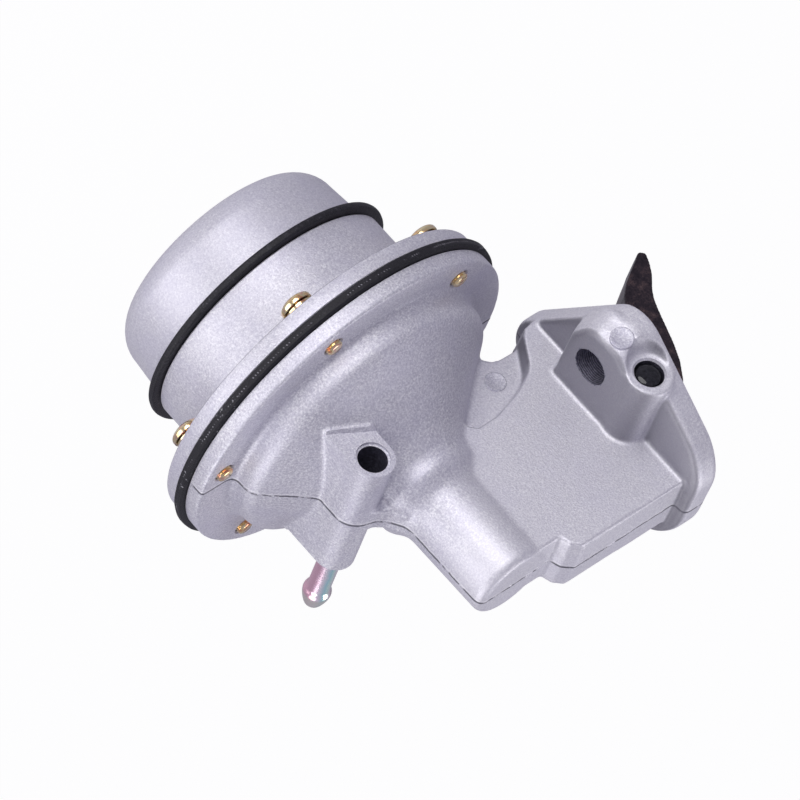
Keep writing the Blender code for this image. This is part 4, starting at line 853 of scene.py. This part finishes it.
coverBolt = {"headR": 7.2, "headH": 4.8, "top": -91.3, "shankR": 3.9, "endZ": -58.1}


def makeCoverBolt(v):
    hexagon = [(v["headR"] * cos(pi / 3 * i), v["headR"] * sin(pi / 3 * i)) for i in range(6)]
    head = swept("coverBoltPiece", rounding(hexagon, [0.5] * 6, 3), "Z", v["top"] - v["headH"], v["top"])
    head.data.transform(Matrix.Translation((axisX / 1000, 0, 0)))
    low = v["top"] - v["headH"]
    blank = [(0, low), (5.3, low), (6.2, low + 0.25), (7.6, low + 1.1), (7.6, v["top"] + 1), (0, v["top"] + 1)]
    carve(head, [spun("blank", blank, (axisX, 0, 0), steps=64)], "INTERSECT")
    shank = [(0, v["top"] - 1), (v["shankR"], v["top"] - 1), (v["shankR"], v["endZ"] - 0.8), (3.1, v["endZ"]),
             (0, v["endZ"])]
    return carve(head, [spun("shank", shank, (axisX, 0, 0), steps=48)], "UNION")


dress(makeCoverBolt(coverBolt), "gold", "housing", "cover_bolt", angle=30)
washer = [(4.2, -91.0), (8.2, -91.0), (8.5, -90.75), (8.5, -90.05), (8.2, -89.8), (4.2, -89.8)]
dress(spun("coverWasher", washer, (axisX, 0, 0), steps=64), "gold", "housing", "cover_washer", angle=30)


# hose nipple

nipple = {"startY": -10.0, "endY": -48.0, "tubeR": 3.175, "boreR": 2.2, "beadR": 4.0}


def makeNipple(v):
    end, start, t, b = v["endY"], v["startY"], v["tubeR"], v["beadR"]
    profile = [(v["boreR"], start), (t, start), (t, end + 7.9), (t + 0.10, end + 7.4), (t + 0.45, end + 6.8),
               (b - 0.08, end + 6.1), (b, end + 5.4), (b - 0.10, end + 4.4), (b - 0.40, end + 3.1),
               (b - 0.80, end + 1.8), (b - 1.15, end + 0.8), (b - 1.45, end + 0.15), (b - 1.65, end),
               (v["boreR"], end + 0.3)]
    return spun("hoseNippleTube", profile, (lowerBody["ventX"], 0, lowerBody["ventZ"]), "Y", 72)


dress(makeNipple(nipple), "zinc", "housing", "hose_nipple", angle=40)


# pivot pin, plugs and bushing

pivot = {"pinR": 3.9, "half": 29.6, "plugR": 3.7, "plugWall": 1.7, "plugDome": 1.1, "bushR": 5.7, "bushBore": 4.2,
         "bushHalf": 6.6, "chamfer": 0.6}
h, r, c = pivot["half"], pivot["pinR"], pivot["chamfer"]
pinProfile = [(0, -h), (3.3, -h), (r, -h + c), (r, h - c), (3.3, h), (0, h)]
dress(spun("pivotPinSteel", pinProfile, pivotAt, "Y", 56), "steel", "housing", "pivot_pin", angle=30)
for name, node, side in (("rightPlug", "pin_plug_right", 1), ("leftPlug", "pin_plug_left", -1)):
    start, wide, wall, rise = h + 0.3, pivot["plugR"], pivot["plugWall"], pivot["plugDome"]
    dome = [(0, side * start), (wide, side * start), (wide, side * (start + wall))]
    dome += [(wide * cos(a), side * (start + wall + rise * sin(a))) for a in [pi / 2 * i / 8 for i in range(1, 9)]]
    dress(spun(name, dome, pivotAt, "Y", 56), "black", "housing", node, angle=40)
h, r = pivot["bushHalf"], pivot["bushR"]
bush = [(pivot["bushBore"], -h), (5.5, -h), (r, -6.4), (r, 6.4), (5.5, h), (pivot["bushBore"], h)]
dress(spun("armBushing", bush, pivotAt, "Y", 56), "bronze", "rocker", "arm_bushing", angle=30)


# rocker arm

rockerArm = {
    "grid": 0.42, "soften": 6, "half": 6.4, "hubR": 8.6, "tailX": -27.0, "tailLow": 5.5, "tailHigh": 20.9,
    "slotHalf": 3.4, "linkR": 7.8, "boreR": 6.0,
    "spine": [(-6.0, 12.8, 6.8), (-0.7, 12.9, 6.3), (4.8, 12.4, 6.1), (9.5, 10.3, 5.8), (13.4, 7.3, 5.5),
              (16.6, 3.1, 5.2), (19.1, -1.7, 4.9), (21.2, -7.2, 4.8), (23.3, -12.5, 4.7), (25.5, -15.8, 4.2),
              (27.9, -18.4, 3.7), (30.1, -20.1, 3.3), (32.2, -21.9, 2.8), (34.3, -24.0, 2.0), (36.2, -26.2, 1.1)],
}


def makeRockerArm(v):  # the spine gives x, z and half the blade's width
    spine = v["spine"]
    left, right = [], []
    for i, (x, z, half) in enumerate(spine):
        into = Vector(spine[min(i + 1, len(spine) - 1)][:2]) - Vector(spine[max(i - 1, 0)][:2])
        into.normalize()
        left.append((x - into.y * half, z + into.x * half))
        right.append((x + into.y * half, z - into.x * half))
    blade = swept("blade", rounding(right + left[::-1], [0] * 2 * len(spine)), "Y", -v["half"], v["half"])
    low, high, end = v["tailLow"], v["tailHigh"], v["tailX"]
    corners = [(end, low), (pivotAt[0], low), (pivotAt[0], high), (end, high)]
    tail = swept("tail", rounding(corners, [1.4, 0, 0, 1.4], 4), "Y", -v["half"], v["half"])
    hub = pin("hub", "Y", pivotAt, v["hubR"], -v["half"], v["half"], 72)
    arm = settle(fuse("rockerArmForging", [blade, tail, hub]), v["grid"], v["soften"])
    slot, h = rounding([(-32, 8.9), (-13.7, 8.9), (-13.7, 17.5), (-32, 17.5)], [0] * 4), v["slotHalf"]
    cuts = [swept("slot", slot, "Y", -h, h), pin("linkHub", "Y", pivotAt, v["linkR"], -h, h, 56),
            pin("armBore", "Y", pivotAt, v["boreR"], -20, 20, 56)]
    return carve(arm, cuts, solver="MANIFOLD")


dress(makeRockerArm(rockerArm), "forged", "rocker", "rocker_arm", angle=40)


# rocker link

link = {
    "grid": 0.42, "soften": 5, "half": 3.1, "rise": 4.0, "hubR": 7.5, "boreR": 6.0, "barX": -53.5, "forkHalf": 6.1,
    "fork": [(-66.0, 9.2), (-51.5, 9.4), (-51.5, 17.0), (-66.0, 17.2)], "forkRounds": [3.8, 0, 0, 3.8],
    "slot": [(-72, -3.3), (-58.1, -3.3), (-58.1, 3.3), (-72, 3.3)], "slotRounds": [0, 1.5, 1.5, 0],
}


def makeLink(v):
    x, low, high = pivotAt[0], pivotAt[2] - v["rise"], pivotAt[2] + v["rise"]
    bar = rounding([(v["barX"], low), (x, low), (x, high), (v["barX"], high)], [0] * 4)
    shells = [swept("bar", bar, "Y", -v["half"], v["half"]),
              pin("hub", "Y", pivotAt, v["hubR"], -v["half"], v["half"], 64),
              swept("fork", rounding(v["fork"], v["forkRounds"], 8), "Y", -v["forkHalf"], v["forkHalf"])]
    piece = settle(fuse("rockerLinkForging", shells), v["grid"], v["soften"])
    slot = swept("slot", rounding(v["slot"], v["slotRounds"], 4), "Z", 3, 24)
    return carve(piece, [slot, pin("linkBore", "Y", pivotAt, v["boreR"], -20, 20, 56)], solver="MANIFOLD")


dress(makeLink(link), "forged", "link", "rocker_link", angle=40)
print("large pieces done")


# the inner pieces keep their CAD shape and get their finishes

innerFinishes = {
    "diaphragm_spring": "wire", "return_spring": "wire",
    "inlet_valve_spring": "wire", "outlet_valve_spring": "wire",
    "upper_diaphragm_plate": "steel", "lower_diaphragm_plate": "steel", "pull_rod": "steel", "rod_nut": "steel",
    "seal_retainer": "steel", "rod_seal": "gasket", "inlet_valve_disc": "gasket", "outlet_valve_disc": "gasket",
    "inlet_valve_seat": "brass", "outlet_valve_seat": "brass",
    "inlet_valve_cage": "brass", "outlet_valve_cage": "brass",
}
for node, finish in innerFinishes.items():
    nodes[node].data.materials.clear()
    nodes[node].data.materials.append(finishes[finish])

# for each spring: its joint, the height of its fixed end and the share of its length left at the limit; here each
# spring only gets a mesh of its own
springs = {
    "diaphragm_spring": ("rod_slide", -17.0, 0.66),
    "return_spring": ("rocker_pivot", 32.3, 0.80),
    "inlet_valve_spring": ("inlet_valve_lift", -48.4, 0.53),
    "outlet_valve_spring": ("outlet_valve_lift", -58.2, 0.53),
}
for node, (joint, fixedZ, share) in springs.items():
    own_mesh(nodes[node])


# camera, lights and floor

view = {"right": (0.7291, 0.2334, 0.6434), "up": (0.4497, 0.5453, -0.7074), "back": (-0.5160, 0.8051, 0.2926),
        "eye": (-0.8174, 1.1979, 0.4065), "lens": 252.8, "sensor": 36}
camera = bpy.data.objects.new("camera", bpy.data.cameras.new("camera"))
camera.data.lens = view["lens"]
camera.data.sensor_width = view["sensor"]
camera.data.clip_end = 20
camera.matrix_world = Matrix((view["right"], view["up"], view["back"])).transposed().to_4x4()
camera.location = view["eye"]
scene.collection.objects.link(camera)
scene.camera = camera

lamps = {  # directions as seen in the photograph: right, up, towards the eye
    "key": {"toward": (-0.85, -0.04, 0.53), "size": 0.65, "power": 2.4},
    "front": {"toward": (-0.06, 0.50, 0.86), "size": 0.65, "power": 4.1},
    "low": {"toward": (-0.49, -0.85, 0.21), "size": 0.55, "power": 2.4},
    "rim": {"toward": (0.70, -0.70, -0.17), "size": 0.40, "power": 1.6},
}
studio = {"reach": 0.8, "lampColour": (1.0, 0.99, 0.96), "air": (0.87, 0.84, 1.0, 1.0), "airStrength": 0.40,
          "floorZ": -0.95, "floorSize": 6.0, "floorColour": (0.93, 0.93, 0.93), "floorRough": 0.9,
          "glow": 1.09, "glowShare": 0.86}
centre = Vector((-0.045, 0, -0.02))
right, up, back = (Vector(view[k]) for k in ("right", "up", "back"))
for name, v in lamps.items():
    lamp = bpy.data.objects.new(name, bpy.data.lights.new(name, "AREA"))
    lamp.data.shape = "DISK"
    lamp.data.size = v["size"]
    lamp.data.energy = v["power"]
    lamp.data.color = studio["lampColour"]
    toward = (right * v["toward"][0] + up * v["toward"][1] + back * v["toward"][2]).normalized()
    lamp.location = centre + toward * studio["reach"]
    lamp.rotation_mode = "QUATERNION"
    lamp.rotation_quaternion = toward.to_track_quat("Z", "Y")
    scene.collection.objects.link(lamp)

world = bpy.data.worlds.new("studio")
scene.world = world
world.use_nodes = True
air = world.node_tree.nodes["Background"]
air.inputs["Color"].default_value = studio["air"]
air.inputs["Strength"].default_value = studio["airStrength"]

bm = bmesh.new()
bmesh.ops.create_grid(bm, x_segments=8, y_segments=8, size=studio["floorSize"])
bmesh.ops.translate(bm, verts=bm.verts, vec=(0, 0, studio["floorZ"]))
floor = keep("floor", bm)
paper = Graph("paper")
tree = paper.tree
glow = tree.nodes.new("ShaderNodeEmission")
glow.inputs["Strength"].default_value = studio["glow"]
path = tree.nodes.new("ShaderNodeLightPath")
share = tree.nodes.new("ShaderNodeMath")
share.operation = "MULTIPLY"
share.inputs[1].default_value = studio["glowShare"]
tree.links.new(path.outputs["Is Camera Ray"], share.inputs[0])
mixer = tree.nodes.new("ShaderNodeMixShader")
tree.links.new(share.outputs[0], mixer.inputs[0])
tree.links.new(paper.shader.outputs[0], mixer.inputs[1])
tree.links.new(glow.outputs[0], mixer.inputs[2])
tree.links.new(mixer.outputs[0], tree.nodes["Material Output"].inputs["Surface"])
paper.finish(Base_Color=studio["floorColour"], Roughness=studio["floorRough"])
floor.data.materials.append(paper.material)

scene.view_settings.view_transform = "Standard"
